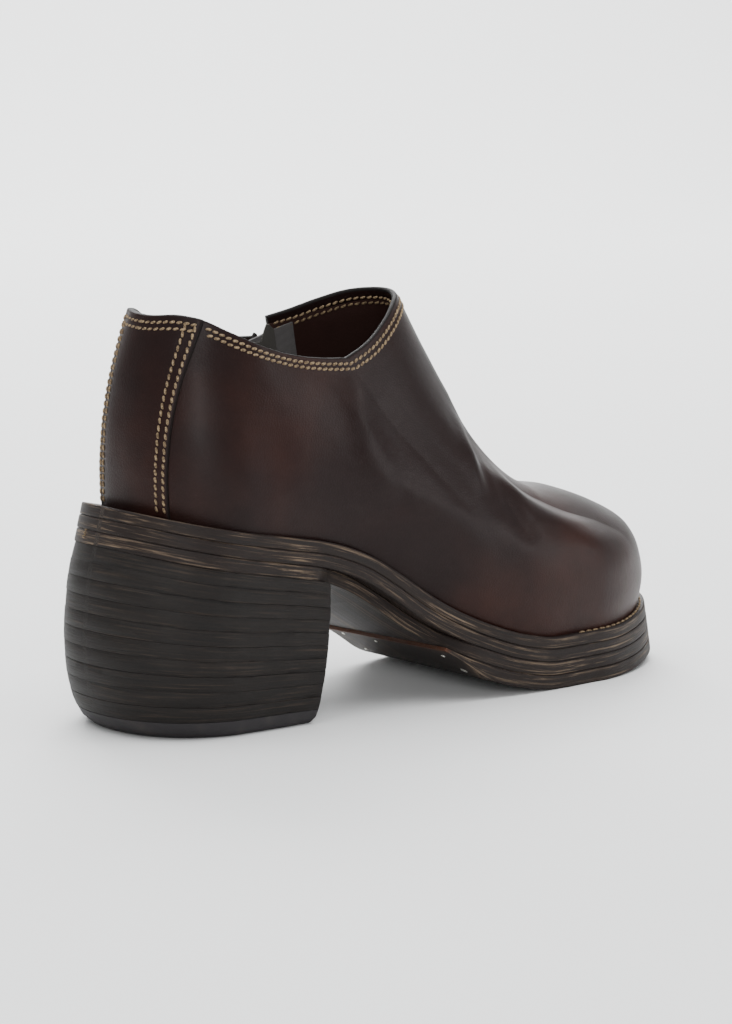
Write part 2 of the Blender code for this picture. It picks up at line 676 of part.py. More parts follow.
def zip_slider(frame):
    """A plate over the slit, a neck down to the tape, and a bail that the pull hangs in."""
    half = SLIDER_LENGTH / 2
    top = SLIDER_LIFT + SLIDER_THICKNESS
    wide, narrow = SLIDER_WIDTH / 2, ZIP_TEETH_WIDTH / 2
    slider = box("zip_slider", (-half, -wide, SLIDER_LIFT), (half, wide, top), "zip metal")
    neck = box("slider_neck", (-half, -narrow, -WALL), (half - 2 * GAP, narrow, top - GAP), "zip metal")
    apply_boolean(slider, neck, "UNION")
    reach, rise, thick = BAIL_LENGTH / 2, top + BAIL_RISE, BAIL_THICKNESS
    foot = top - GAP
    side = ((reach, foot), (reach, rise - thick), (reach - thick, rise))
    below = ((reach - 2 * thick, rise - thick), (reach - thick, rise - 2 * thick), (reach - thick, foot))
    arch = list(side) + [(-a, c) for a, c in reversed(side)]
    arch += [(-a, c) for a, c in reversed(below)] + list(below)
    bail = prism("slider_bail", arch, 1, -BAIL_WIDTH / 2, BAIL_WIDTH / 2, "zip metal")
    apply_boolean(slider, bail, "UNION")
    slider.matrix_world = frame
    return slider


def zip_pull(frame):
    """A flat tab whose eye goes round the bail. Its origin is on the axle, the end of the eye."""
    half, thick = PULL_WIDTH / 2, PULL_THICKNESS / 2
    eye = BAIL_WIDTH / 2 + 2 * GAP
    neck = PULL_NECK / 2
    first, last = -PULL_AXLE / 2, PULL_LENGTH
    side = (
        (first, -half), (PULL_EYE_END, -half), (PULL_EYE_END + half / 2, -neck),
        (PULL_BAR_START, -neck), (PULL_BAR_START + half / 2, -half), (last, -half),
    )
    shape = list(side) + [(a, -w) for a, w in reversed(side)]
    pull = prism("zip_pull", shape, 2, -thick, thick, "zip metal")
    hole = box("pull_eye", (PULL_AXLE / 2, -eye, -half), (PULL_EYE_END - PULL_AXLE, eye, half), "zip metal")
    apply_boolean(pull, hole, "DIFFERENCE")
    height = SLIDER_LIFT + SLIDER_THICKNESS + PULL_THICKNESS
    axle = (-BAIL_LENGTH / 2 + BAIL_THICKNESS + PULL_AXLE, 0, height)
    pull.matrix_world = frame @ Matrix.Translation(axle)
    return pull


def clear_scene():
    for thing in list(bpy.data.objects):
        bpy.data.objects.remove(thing, do_unlink=True)


def centre_on_floor():
    """Moves everything so that the origin is under the middle of the shoe's box."""
    bpy.context.view_layer.update()
    solids = [thing for thing in bpy.data.objects if thing.type == "MESH"]
    corners = [(thing.matrix_world, thing.data.vertices) for thing in solids]
    points = np.array([place @ vertex.co for place, vertices in corners for vertex in vertices])
    low, high = points.min(0), points.max(0)
    shoe = bpy.data.objects.new("shoe", None)
    bpy.context.scene.collection.objects.link(shoe)
    for thing in solids:
        thing.parent = shoe
    shoe.location = (-(low[0] + high[0]) / 2, -(low[1] + high[1]) / 2, -low[2])


def build():
    clear_scene()
    levels = np.linspace(0, 1, RINGS)
    angles = column_angles(levels)
    inner = upper_point(angles, levels[:, None])
    outer = upper_point(angles, levels[:, None], WALL)
    outer[0, :, 2] = sole_top(outer[0, :, 0]) + seat_clearance(outer[0, :, 0])
    upper = make_object("upper", *grid_shell(outer, inner, True), "upper leather")
    path = ZipPath(outer)
    apply_boolean(upper, zip_slit(path), "DIFFERENCE")
    back_strip(levels)
    insole()
    sole_layer("welt", 0.0, WELT_THICKNESS)
    sole_layer("midsole", WELT_THICKNESS, MIDSOLE_THICKNESS)
    sole_layer("outsole", WELT_THICKNESS + MIDSOLE_THICKNESS, OUTSOLE_THICKNESS, waisted=True)
    half_sole()
    heel_block()
    zip_pieces(path)
    frame = slider_frame(path)
    zip_slider(frame)
    zip_pull(frame)
    centre_on_floor()


build()
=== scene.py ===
import json
import math

import bmesh
import bpy
import numpy as np
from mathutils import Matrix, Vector
from mathutils.bvhtree import BVHTree


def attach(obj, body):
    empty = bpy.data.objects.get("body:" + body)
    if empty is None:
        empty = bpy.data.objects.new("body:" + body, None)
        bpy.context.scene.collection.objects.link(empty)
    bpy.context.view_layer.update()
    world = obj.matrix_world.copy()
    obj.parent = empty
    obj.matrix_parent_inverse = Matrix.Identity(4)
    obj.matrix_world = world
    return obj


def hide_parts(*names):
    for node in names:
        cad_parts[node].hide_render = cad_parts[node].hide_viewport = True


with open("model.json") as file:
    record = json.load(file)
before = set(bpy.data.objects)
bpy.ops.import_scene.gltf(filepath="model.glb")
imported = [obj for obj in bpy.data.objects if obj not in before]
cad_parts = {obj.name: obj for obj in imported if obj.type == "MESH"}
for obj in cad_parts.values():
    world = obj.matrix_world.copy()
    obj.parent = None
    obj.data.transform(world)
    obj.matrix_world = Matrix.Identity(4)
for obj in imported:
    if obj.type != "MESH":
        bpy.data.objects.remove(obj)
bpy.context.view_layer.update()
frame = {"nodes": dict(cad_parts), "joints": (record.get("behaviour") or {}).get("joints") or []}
shoeShift = np.array((-0.12080435, -0.00095159, 0.0))  # from the back of the sole to the middle of the shoe
print("frame loaded")


# Shader nodes from plain Python

class Link:
    # a socket that can be added and multiplied like a number
    def __init__(self, paint, socket):
        self.paint = paint
        self.socket = socket

    def maths(self, operation, other):
        return self.paint.node("ShaderNodeMath", {"operation": operation}, {0: self, 1: other})

    def __add__(self, other):
        return self.maths("ADD", other)

    __radd__ = __add__

    def __mul__(self, other):
        return self.maths("MULTIPLY", other)

    __rmul__ = __mul__

    def limited(self, first, last):
        # 0 at the first value and 1 at the last, which may be the smaller one
        settings = {"interpolation_type": "SMOOTHSTEP"}
        return self.paint.node("ShaderNodeMapRange", settings, {0: self, 1: first, 2: last})


class Paint:
    def __init__(self, name, roughness=0.5, metallic=0.0, **fixed):
        self.material = bpy.data.materials.new(name)
        self.material.use_nodes = True
        self.tree = self.material.node_tree
        self.shader = self.tree.nodes["Principled BSDF"]
        self.put("Roughness", roughness)
        self.put("Metallic", metallic)
        for socket, value in fixed.items():
            self.put(socket.replace("_", " "), value)
        self.place = self.node("ShaderNodeTexCoord", output="Object")

    def connect(self, socket, value):
        if isinstance(value, Link):
            self.tree.links.new(value.socket, socket)
        elif socket.type == "RGBA" and len(value) == 3:
            socket.default_value = (*value, 1.0)
        else:
            socket.default_value = value

    def node(self, kind, settings=None, sockets=None, output=0):
        made = self.tree.nodes.new(kind)
        for key, value in (settings or {}).items():
            setattr(made, key, value)
        for key, value in (sockets or {}).items():
            self.connect(made.inputs[key], value)
        return Link(self, made.outputs[output])

    def put(self, socket, value):
        self.connect(self.shader.inputs[socket], value)

    def stretched(self, scale):
        return self.node("ShaderNodeVectorMath", {"operation": "MULTIPLY"}, {0: self.place, 1: scale})

    def noise(self, scale, detail=3.0, roughness=0.55, vector=None, distortion=0.0):
        sockets = {"Vector": vector or self.place, "Scale": scale, "Detail": detail}
        sockets.update({"Roughness": roughness, "Distortion": distortion})
        return self.node("ShaderNodeTexNoise", None, sockets)

    def cells(self, scale):
        settings = {"feature": "DISTANCE_TO_EDGE"}
        return self.node("ShaderNodeTexVoronoi", settings, {"Vector": self.place, "Scale": scale})

    def mix(self, share, first, second):
        return self.node("ShaderNodeMix", {"data_type": "RGBA"}, {0: share, 6: first, 7: second}, output=2)

    def bump(self, height, distance, strength, under=None):
        sockets = {"Strength": strength, "Distance": distance, "Height": height}
        if under:
            sockets["Normal"] = under
        return self.node("ShaderNodeBump", None, sockets)

    def attribute(self, name):
        return self.node("ShaderNodeAttribute", {"attribute_name": name}, output="Fac")


def srgb(*levels):
    # the light that a screen's colour levels from 0 to 255 stand for
    return tuple(((v / 255 + 0.055) / 1.055) ** 2.4 if v > 10 else v / 255 / 12.92 for v in levels)


leatherLook = {
    "dark": srgb(27, 16, 15),
    "warm": srgb(50, 25, 18),
    "dusty": srgb(64, 52, 46),
    "cut": srgb(14, 10, 9),
    "roughness": (0.33, 0.47),
    "pores": 950.0,
    "poreDepth": 0.00006,
    "wrinkleDepth": 0.00010,
}


def leather(name, dark, warm, dusty, grain=1.0):
    look = leatherLook
    paint = Paint(name, Coat_Roughness=0.30, Specular_IOR_Level=0.12)
    broad = paint.noise(13, 3).limited(0.42, 0.72)
    fine = paint.noise(120, 5, 0.65).limited(0.35, 0.75)
    worn = paint.noise(46, 6, 0.7, distortion=0.6).limited(0.60, 0.82)
    colour = paint.mix(broad * 0.7, dark, warm)
    colour = paint.mix(fine * 0.22, colour, tuple(v * 0.55 for v in dark))
    colour = paint.mix(worn * 0.10, colour, dusty)
    cutEdge = paint.attribute("cutEdge")
    paint.put("Base Color", paint.mix(cutEdge, colour, look["cut"]))
    low, high = look["roughness"]
    paint.put("Roughness", paint.noise(60, 4) * (high - low) + cutEdge * 0.3 + low)
    paint.put("Coat Weight", broad * 0.03 + 0.02)
    pores = paint.cells(look["pores"]).limited(0.0, 0.22)
    wrinkle = paint.noise(210, 6, 0.6, distortion=0.8)
    first = paint.bump(wrinkle, look["wrinkleDepth"] * grain, 0.55)
    paint.put("Normal", paint.bump(pores, look["poreDepth"] * grain, 0.5, first))
    return paint.material


soleLook = {
    "base": srgb(28, 20, 17),
    "streak": srgb(116, 99, 81),
    "dark": srgb(17, 13, 12),
    "raw": srgb(84, 46, 25),
}


def soleEdge(name, base, streak, dark, amount):
    # "edgeRun" runs along the edge and "edgeDepth" down it, both in metres
    paint = Paint(name, roughness=0.58, Specular_IOR_Level=0.2)
    run, depth = paint.attribute("edgeRun"), paint.attribute("edgeDepth")
    laid = paint.node("ShaderNodeCombineXYZ", None, {0: run * 30.0, 1: depth * 1150.0, 2: 0.0})
    fibres = paint.noise(1.0, 7, 0.68, laid, 0.5)
    spread = paint.node("ShaderNodeCombineXYZ", None, {0: run * 45.0, 1: depth * 120.0, 2: 3.0})
    patches = paint.noise(1.0, 3, 0.6, spread)
    colour = paint.mix(fibres.limited(0.50, 0.68) * patches.limited(0.30, 0.62) * amount, base, streak)
    colour = paint.mix(fibres.limited(0.48, 0.34) * 0.8, colour, dark)
    colour = paint.mix(patches.limited(0.55, 0.75) * 0.35, colour, dark)
    colour = paint.mix(paint.attribute("rawEdge") * fibres * 1.3, colour, soleLook["raw"])
    paint.put("Base Color", colour)
    paint.put("Roughness", fibres * 0.25 + 0.45)
    grain = paint.noise(900, 3)
    first = paint.bump(fibres, 0.00035, 0.8)
    paint.put("Normal", paint.bump(grain, 0.00010, 0.4, first))
    return paint.material


def thread(name, colour, shade):
    paint = Paint(name, roughness=0.72, Specular_IOR_Level=0.3)
    twist = paint.noise(1500, 2)
    paint.put("Base Color", paint.mix(twist.limited(0.35, 0.7), shade, colour))
    paint.put("Normal", paint.bump(twist, 0.0001, 0.7))
    return paint.material


def metal(name, colour, tarnish, roughness):
    paint = Paint(name, metallic=1.0)
    blot = paint.noise(420, 5, 0.65).limited(0.42, 0.68)
    paint.put("Base Color", paint.mix(blot * 0.7, colour, tarnish))
    paint.put("Roughness", blot * 0.22 + roughness)
    paint.put("Normal", paint.bump(paint.noise(1300, 2), 0.00005, 0.5))
    return paint.material


def cloth(name, colour, shade, threads=900.0):
    paint = Paint(name, roughness=0.9, Specular_IOR_Level=0.2)
    sockets = {"Vector": paint.place, "Scale": threads}
    across, along = (paint.node("ShaderNodeTexWave", {"bands_direction": way}, sockets) for way in "XZ")
    weave = across * along
    paint.put("Base Color", paint.mix(weave.limited(0.1, 0.8), shade, colour))
    paint.put("Normal", paint.bump(weave, 0.00018, 0.8))
    return paint.material


def rubber(name, colour, dusty):
    paint = Paint(name, roughness=0.72, Specular_IOR_Level=0.35)
    worn = paint.noise(80, 6, 0.7).limited(0.48, 0.75)
    paint.put("Base Color", paint.mix(worn * 0.6, colour, dusty))
    paint.put("Roughness", worn * 0.15 + 0.66)
    paint.put("Normal", paint.bump(paint.noise(700, 4), 0.00015, 0.6))
    return paint.material


def walkedLeather(name):
    # the flesh side and the grain side of the parts under the foot
    paint = Paint(name, roughness=0.6)
    scuff = paint.noise(1.0, 6, 0.7, paint.stretched((40, 190, 60)), 0.5)
    colour = paint.mix(scuff.limited(0.45, 0.72) * 0.5, srgb(58, 40, 32), srgb(88, 68, 54))
    paint.put("Base Color", paint.mix(paint.noise(300, 4).limited(0.5, 0.8) * 0.5, colour, srgb(46, 33, 27)))
    paint.put("Normal", paint.bump(scuff, 0.0002, 0.5))
    return paint.material


upperPaint = leather("polishedUpperLeather", leatherLook["dark"], leatherLook["warm"], leatherLook["dusty"])
facingPaint = leather("facingLeather", srgb(50, 34, 31), srgb(66, 41, 34), srgb(84, 70, 64), 0.8)
liningPaint = leather("liningLeather", srgb(60, 43, 39), srgb(74, 50, 42), srgb(92, 76, 68), 0.7)
edgePaint = soleEdge("stainedSoleEdge", soleLook["base"], soleLook["streak"], soleLook["dark"], 0.95)
heelPaint = soleEdge("stackedHeelLeather", srgb(22, 18, 16), srgb(58, 48, 40), srgb(11, 9, 8), 0.62)
insolePaint = walkedLeather("insoleLeather")
threadPaint = thread("tanThread", srgb(146, 126, 96), srgb(84, 68, 50))
zipPaint = metal("agedSilver", srgb(158, 151, 136), srgb(62, 56, 48), 0.36)
copperPaint = metal("copperNail", srgb(190, 112, 58), srgb(120, 66, 36), 0.36)
tackPaint = metal("brightTack", srgb(214, 212, 204), srgb(150, 146, 138), 0.25)
tapePaint = cloth("zipCloth", srgb(128, 125, 124), srgb(84, 82, 82))
guardPaint = cloth("guardCloth", srgb(104, 101, 97), srgb(66, 64, 61))
topPiecePaint = rubber("topPieceRubber", srgb(34, 31, 33), srgb(62, 57, 55))
print("materials ready")


# The last, in the shoe's own sizes

sole = {
    "length": 0.246,
    "ballWidth": 0.083,
    "seatHeight": 0.0805,
    "foreHeight": 0.0195,
    "toeSpring": 0.0055,
    "springStart": 0.80,
    "ledge": 0.0045,
    "heelLedge": 0.0095,
    "layers": (0.0044, 0.0048, 0.0050),
    "halfStart": 0.132,
    "halfSkew": 0.008,
    "skive": (0.022, 0.24),
    "waistInset": 0.0060,
    "waistStart": (0.27, 0.06),
    "waistEnd": (0.565, 0.05),
    "columns": 232,
    "backPoints": 12,
}
collar = {
    "back": 0.0198,
    "length": 0.1057,
    "halfWidth": 0.0275,
    "bow": 0.10,
    "backRound": 0.26,
    "frontRound": 0.42,
    "backHeight": 0.1462,
    "frontHeight": 0.1470,
    "outerDip": (0.620, 0.1280),
    "innerDip": (0.667, 0.1365),
    "innerRear": 0.1300,
    "dipShare": 0.022,
}
wall = 0.0022
swell = 0.0055
outline = {
    "along": (0.00, 0.14, 0.30, 0.45, 0.60, 0.70, 0.79, 0.89, 1.00),
    "outer": (0.74, 0.78, 0.79, 0.84, 0.96, 1.00, 1.00, 0.96, 0.92),
    "inner": (0.74, 0.78, 0.77, 0.76, 0.86, 0.95, 1.00, 0.98, 0.92),
}
heelRound, toeRound = 0.135, 0.205
heelSquareness, toeSquareness = 2.2, 2.1
toeTip = {"shift": 0.045, "start": 0.62}
soleLine = {
    "along": (-0.08, 0.00, 0.07, 0.142, 0.215, 0.289, 0.36, 0.415, 0.472, 0.528, 0.585, 0.646, 0.707, 0.80),
    "drop": (-0.085, 0.00, 0.074, 0.139, 0.195, 0.255, 0.359, 0.49, 0.648, 0.779, 0.88, 0.96, 1.00, 1.00),
}
collarRear = {
    "along": (0.00, 0.05, 0.11, 0.25, 0.45, 0.65, 0.85, 1.00),
    "rise": (0.95, 1.00, 0.96, 0.70, 0.36, 0.15, 0.04, 0.00),
}
collarFore = {
    "along": (0.00, 0.30, 0.60, 0.85, 1.00),
    "rise": (0.00, 0.24, 0.60, 0.90, 1.00),
}
ribLevels = (0.00, 0.10, 0.20, 0.30, 0.42, 0.54, 0.64, 0.76, 0.88, 1.00)
ribAngles = (0, 48, 88, 115, 148, 180)
ribs = {
    "run": (
        (0.00, -0.03, -0.03, 0.00, 0.06, 0.17, 0.30, 0.50, 0.73, 1.00),
        (0.00, 0.08, 0.17, 0.27, 0.39, 0.52, 0.62, 0.75, 0.88, 1.00),
        (0.00, 0.04, 0.10, 0.19, 0.30, 0.43, 0.556, 0.704, 0.853, 1.00),
        (0.00, 0.00, 0.01, 0.06, 0.17, 0.315, 0.46, 0.65, 0.84, 1.00),
        (0.00, -0.012, 0.002, 0.035, 0.145, 0.295, 0.425, 0.615, 0.815, 1.00),
        (0.00, -0.010, 0.006, 0.045, 0.15, 0.315, 0.465, 0.645, 0.84, 1.00),
    ),
    "rise": (
        (0.00, 0.11, 0.21, 0.31, 0.43, 0.55, 0.65, 0.77, 0.89, 1.00),
        (0.00, 0.11, 0.21, 0.31, 0.43, 0.55, 0.65, 0.77, 0.89, 1.00),
        (0.00, 0.108, 0.215, 0.323, 0.44, 0.548, 0.65, 0.763, 0.88, 1.00),
        (0.00, 0.093, 0.183, 0.273, 0.359, 0.449, 0.543, 0.678, 0.84, 1.00),
        (0.00, 0.09, 0.160, 0.215, 0.270, 0.315, 0.370, 0.505, 0.73, 1.00),
        (0.00, 0.085, 0.160, 0.225, 0.285, 0.338, 0.367, 0.50, 0.745, 1.00),
    ),
    "swell": (
        (0.00, 0.00, 0.00, 0.00, 0.00, 0.00, 0.00, 0.00, 0.00, 0.00),
        (0.00, 0.32, 0.58, 0.72, 0.78, 0.72, 0.60, 0.38, 0.15, 0.00),
        (0.00, 0.42, 0.76, 0.96, 1.00, 0.86, 0.66, 0.40, 0.16, 0.00),
        (0.00, 0.35, 0.50, 0.48, 0.34, 0.16, 0.05, 0.00, 0.00, 0.00),
        (0.00, 0.10, 0.12, 0.08, 0.00, 0.00, 0.00, 0.00, 0.00, 0.00),
        (0.00, 0.00, 0.00, 0.00, 0.00, 0.00, 0.00, 0.00, 0.00, 0.00),
    ),
}


def curve(along, values, at):
    # smooth through a table's points, never past them
    x, y = np.asarray(along, float), np.asarray(values, float)
    step = np.diff(x)
    slope = np.diff(y) / step
    before, after = slope[:-1], slope[1:]
    turns = before * after <= 0
    first, second = 2 * step[1:] + step[:-1], step[1:] + 2 * step[:-1]
    below = np.where(turns, 1.0, first * after + second * before)
    inside = np.where(turns, 0.0, (first + second) * before * after / below)
    tangent = np.concatenate([slope[:1], inside, slope[-1:]])
    at = np.clip(np.asarray(at, float), x[0], x[-1])
    i = np.clip(np.searchsorted(x, at, side="right") - 1, 0, len(step) - 1)
    t = (at - x[i]) / step[i]
    start = y[i] * (1 + 2 * t) * (1 - t) ** 2 + tangent[i] * step[i] * t * (1 - t) ** 2
    end = y[i + 1] * t * t * (3 - 2 * t) - tangent[i + 1] * step[i] * t * t * (1 - t)
    return start + end


def unit(vectors):
    return vectors / np.linalg.norm(vectors, axis=-1, keepdims=True)


def squared(vector, other):
    # the direction nearest to a vector that stands square to another direction
    return unit(vector - other * (vector @ other))


def ease(share):
    share = np.clip(share, 0, 1)
    return share * share * (3 - 2 * share)


def rounded(share, reach, squareness):
    inside = np.clip(1 - share / reach, 0, 1)
    return (1 - inside**squareness) ** (1 / squareness)


def around(angle):
    # share of the length, and the side: -1 outer, 1 inner
    return (1 - np.cos(angle)) / 2, np.where(np.sin(angle) < 0, 1.0, -1.0)


def endShare(share):
    return rounded(share, heelRound, heelSquareness) * rounded(1 - share, toeRound, toeSquareness)


def halfWidth(share, side):
    outer = curve(outline["along"], outline["outer"], share)
    inner = curve(outline["along"], outline["inner"], share)
    return np.where(side < 0, outer, inner) * endShare(share) * sole["ballWidth"] / 2


def middleLine(share):
    return toeTip["shift"] * sole["ballWidth"] * ease((share - toeTip["start"]) / (1 - toeTip["start"]))


def soleTop(x):
    share = x / sole["length"]
    drop = (sole["seatHeight"] - sole["foreHeight"]) * curve(soleLine["along"], soleLine["drop"], share)
    spring = np.clip((share - sole["springStart"]) / (1 - sole["springStart"]), 0, 1.2)
    return sole["seatHeight"] - drop + sole["toeSpring"] * spring**2


def underSole(x, y, depth):
    slope = (soleTop(x + 0.0005) - soleTop(x - 0.0005)) / 0.001
    length = np.sqrt(1 + slope**2)
    return np.stack([x + slope / length * depth, y, soleTop(x) - depth / length], -1)


def collarHeight(share, side):
    dip = np.where(side < 0, collar["outerDip"][0], collar["innerDip"][0])
    behindLow = np.where(side < 0, collar["outerDip"][1], collar["innerRear"])
    beforeLow = np.where(side < 0, collar["outerDip"][1], collar["innerDip"][1])
    rear = curve(collarRear["along"], collarRear["rise"], share / dip)
    fore = curve(collarFore["along"], collarFore["rise"], (share - dip) / (1 - dip))
    behind = behindLow + (collar["backHeight"] - behindLow) * rear
    before = beforeLow + (collar["frontHeight"] - beforeLow) * fore
    return behind + (before - behind) * ease(1 + (share - dip) / collar["dipShare"])


def lowerEdge(angle):
    share, side = around(angle)
    x = sole["heelLedge"] + (sole["length"] - sole["heelLedge"] - sole["ledge"]) * share
    return np.stack([x, middleLine(share) + side * halfWidth(share, side), soleTop(x) + 0.0002], -1)


def collarEdge(angle):
    share, side = around(angle)
    ends = rounded(share, collar["backRound"], 2.0) * rounded(1 - share, collar["frontRound"], 2.0)
    bow = 1 - collar["bow"] + collar["bow"] * np.sin(np.pi * share)
    y = side * collar["halfWidth"] * ends * bow
    return np.stack([collar["back"] + collar["length"] * share, y, collarHeight(share, side)], -1)


def ribShare(column, angle, level):
    turned = np.degrees(np.abs(np.remainder(angle + np.pi, 2 * np.pi) - np.pi))
    rows = [curve(ribLevels, row, level) for row in ribs[column]]
    found = rows[0]
    for i in range(len(ribAngles) - 1):
        part = (turned - ribAngles[i]) / (ribAngles[i + 1] - ribAngles[i])
        share = (part + ease(part)) / 2
        found = np.where(part > 0, rows[i] * (1 - share) + rows[i + 1] * share, found)
    return found


def liningFace(angle, level):
    low, top = lowerEdge(angle), collarEdge(angle)
    run, rise = ribShare("run", angle, level), ribShare("rise", angle, level)
    point = low + (top - low) * np.stack([run, run, rise], -1)
    along = lowerEdge(angle - 1e-3) - lowerEdge(angle + 1e-3)
    outward = unit(np.stack([-along[..., 1], along[..., 0], np.zeros_like(angle)], -1))
    return point + outward * (swell * ribShare("swell", angle, level))[..., None]


def lastFrame(angle, level):
    # the lining face's points and the directions out of it and up it
    angle, level = np.broadcast_arrays(np.asarray(angle, float), np.asarray(level, float))
    across = liningFace(angle + 2e-3, level) - liningFace(angle - 2e-3, level)
    up = liningFace(angle, np.clip(level + 2e-3, 0, 1)) - liningFace(angle, np.clip(level - 2e-3, 0, 1))
    return liningFace(angle, level), unit(np.cross(across, up)), unit(up)


def lastPoint(angle, level, out=0.0):
    point, normal, up = lastFrame(angle, level)
    return point + normal * np.broadcast_to(np.asarray(out, float), normal.shape[:-1])[..., None]


# creases where the foot bends: points along the shoe and up it, in millimetres, as seen from the side
# (side -1 is the outer one, 1 the inner one, and 0 runs across both)
creases = (
    {"side": 0, "height": -0.0023, "width": 0.0088,
     "path": ((148, 113), (160, 97), (170, 86), (179, 78), (187, 73))},
    {"side": -1, "height": 0.0010, "width": 0.0042,
     "path": ((146, 103), (144, 99), (143, 94), (141.5, 88), (141.5, 80), (142.5, 74))},
    {"side": -1, "height": -0.0010, "width": 0.0038,
     "path": ((151, 99), (149.7, 96), (147.8, 91), (146.3, 83.5), (146.6, 77), (148, 71))},
    {"side": -1, "height": -0.0011, "width": 0.0046,
     "path": ((153.5, 88), (153.0, 81), (154.8, 74), (157, 67), (160.5, 60), (164, 55))},
    {"side": -1, "height": 0.0007, "width": 0.0048,
     "path": ((157.5, 84), (158.5, 78), (161, 71), (165, 64))},
    {"side": -1, "height": 0.0011, "width": 0.0064,
     "path": ((88, 125), (88, 116), (88.5, 106), (90, 96), (95, 86), (103, 79))},
    {"side": -1, "height": -0.0004, "width": 0.0100, "path": ((99, 122), (100, 110), (102, 98), (108, 88))},
    {"side": -1, "height": -0.0005, "width": 0.0090, "path": ((45, 116), (47, 104), (48, 93), (52, 84))},
    {"side": 1, "height": 0.0007, "width": 0.0050, "path": ((147, 101), (144, 95), (142, 88), (142.5, 80))},
    {"side": 1, "height": -0.0008, "width": 0.0048, "path": ((152, 96), (149.5, 90), (148, 83), (149, 75))},
    {"side": 1, "height": -0.0009, "width": 0.0050, "path": ((156, 86), (156.5, 79), (159, 72), (163, 64))},
    {"side": 1, "height": -0.0005, "width": 0.0080, "path": ((112, 118), (114, 106), (118, 96), (124, 88))},
)


creaseSideFade = 0.012
slackHeight = 0.00008


def creaseRelief(points):
    # how far the creases, and a slight slack all over, raise or sink the leather
    x, y, z = points[..., 0], points[..., 1], points[..., 2]
    relief = np.zeros(x.shape)
    for crease in creases:
        path = np.array(crease["path"]) / 1000
        nearest, fade = np.ones(x.shape), np.zeros(x.shape)
        lengths = np.concatenate([[0], np.cumsum(np.linalg.norm(np.diff(path, axis=0), axis=1))])
        for i in range(len(path) - 1):
            run = path[i + 1] - path[i]
            offset = np.stack([x - path[i][0], z - path[i][1]], -1)
            t = np.clip(offset @ run / (run @ run), 0, 1)
            distance = np.linalg.norm(offset - t[..., None] * run, axis=-1)
            along = (lengths[i] + t * (lengths[i + 1] - lengths[i])) / lengths[-1]
            closer = distance < nearest
            nearest = np.where(closer, distance, nearest)
            fade = np.where(closer, np.sin(np.pi * np.clip(along, 0.02, 0.98)) ** 0.7, fade)
        sameSide = ease(0.5 + y * crease["side"] / creaseSideFade) if crease["side"] else 1.0
        relief += crease["height"] * np.exp(-((nearest / crease["width"]) ** 2)) * fade * sameSide
    return relief + slackHeight * np.sin(x * 210 + z * 90) * np.sin(z * 170 - y * 120)


# Making pieces

def makePiece(name, points, faces, paint, slotName, body="shoe", stands=(), sharp=None, values=None):
    # points are in the shoe's own sizes; stands names the frame's nodes whose place the piece takes
    mesh = bpy.data.meshes.new(name)
    places = (np.asarray(points, float) + shoeShift).tolist()
    mesh.from_pydata(places, [], [tuple(map(int, face)) for face in faces])
    form = bmesh.new()
    form.from_mesh(mesh)
    bmesh.ops.recalc_face_normals(form, faces=form.faces)
    form.to_mesh(mesh)
    form.free()
    mesh.materials.append(paint)
    mesh.shade_smooth()
    if sharp:
        mesh.set_sharp_from_angle(angle=math.radians(sharp))
    for key, numbers in (values or {}).items():
        held = mesh.attributes.new(key, "FLOAT", "POINT").data
        held.foreach_set("value", np.asarray(numbers, np.float32).ravel())
    piece = bpy.data.objects.new(name, mesh)
    bpy.context.scene.collection.objects.link(piece)
    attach(piece, body)
    if stands:
        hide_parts(*stands)


def gridFaces(rows, columns, closed, start=0):
    j, i = np.meshgrid(np.arange(rows - 1), np.arange(columns if closed else columns - 1), indexing="ij")
    k = (i + 1) % columns
    quads = np.stack([j * columns + i, j * columns + k, (j + 1) * columns + k, (j + 1) * columns + i], -1)
    return quads.reshape(-1, 4) + start


def stacked(outlines):
    # a solid from outlines one above another, closed by strips from side to side
    count = len(outlines[0])
    faces = gridFaces(len(outlines), count, True).tolist()
    for base in (0, (len(outlines) - 1) * count):
        left, right = 1, count - 1
        faces.append((base, base + left, base + right))
        while right - left > 2:
            faces.append((base + left, base + left + 1, base + right - 1, base + right))
            left, right = left + 1, right - 1
        if right - left == 2:
            faces.append((base + left, base + left + 1, base + right))
    return np.concatenate(outlines), faces


def tube(rings):
    # a solid from rings of points in a row, with a flat face at either end
    rings = np.asarray(rings, float)
    rows, count = rings.shape[:2]
    ends = [tuple(range(count - 1, -1, -1)), tuple(range((rows - 1) * count, rows * count))]
    return rings.reshape(-1, 3), gridFaces(rows, count, True).tolist() + ends


def closedShell(near, far):
    # a thin piece from two like grids of points, closed along all four edges
    rows, columns = near.shape[:2]
    apart = rows * columns
    faces = gridFaces(rows, columns, False).tolist() + gridFaces(rows, columns, False, apart).tolist()
    edges = [(j * columns + i, j * columns + i + 1) for j in (0, rows - 1) for i in range(columns - 1)]
    edges += [(j * columns + i, (j + 1) * columns + i) for i in (0, columns - 1) for j in range(rows - 1)]
    faces += [(a, b, apart + b, apart + a) for a, b in edges]
    return np.concatenate([near.reshape(-1, 3), far.reshape(-1, 3)]), faces


def placed(part, origin, along, aside, out):
    # a part moved to its place, with its own three axes turned to the given directions
    points, faces = part
    return origin + points[:, :1] * along + points[:, 1:2] * aside + points[:, 2:] * out, faces


def joined(parts):
    points, faces, count = [], [], 0
    for found, sides in parts:
        faces += [tuple(count + n for n in face) for face in sides]
        points.append(np.asarray(found))
        count += len(found)
    return np.concatenate(points), faces


# Upper, open along the zip

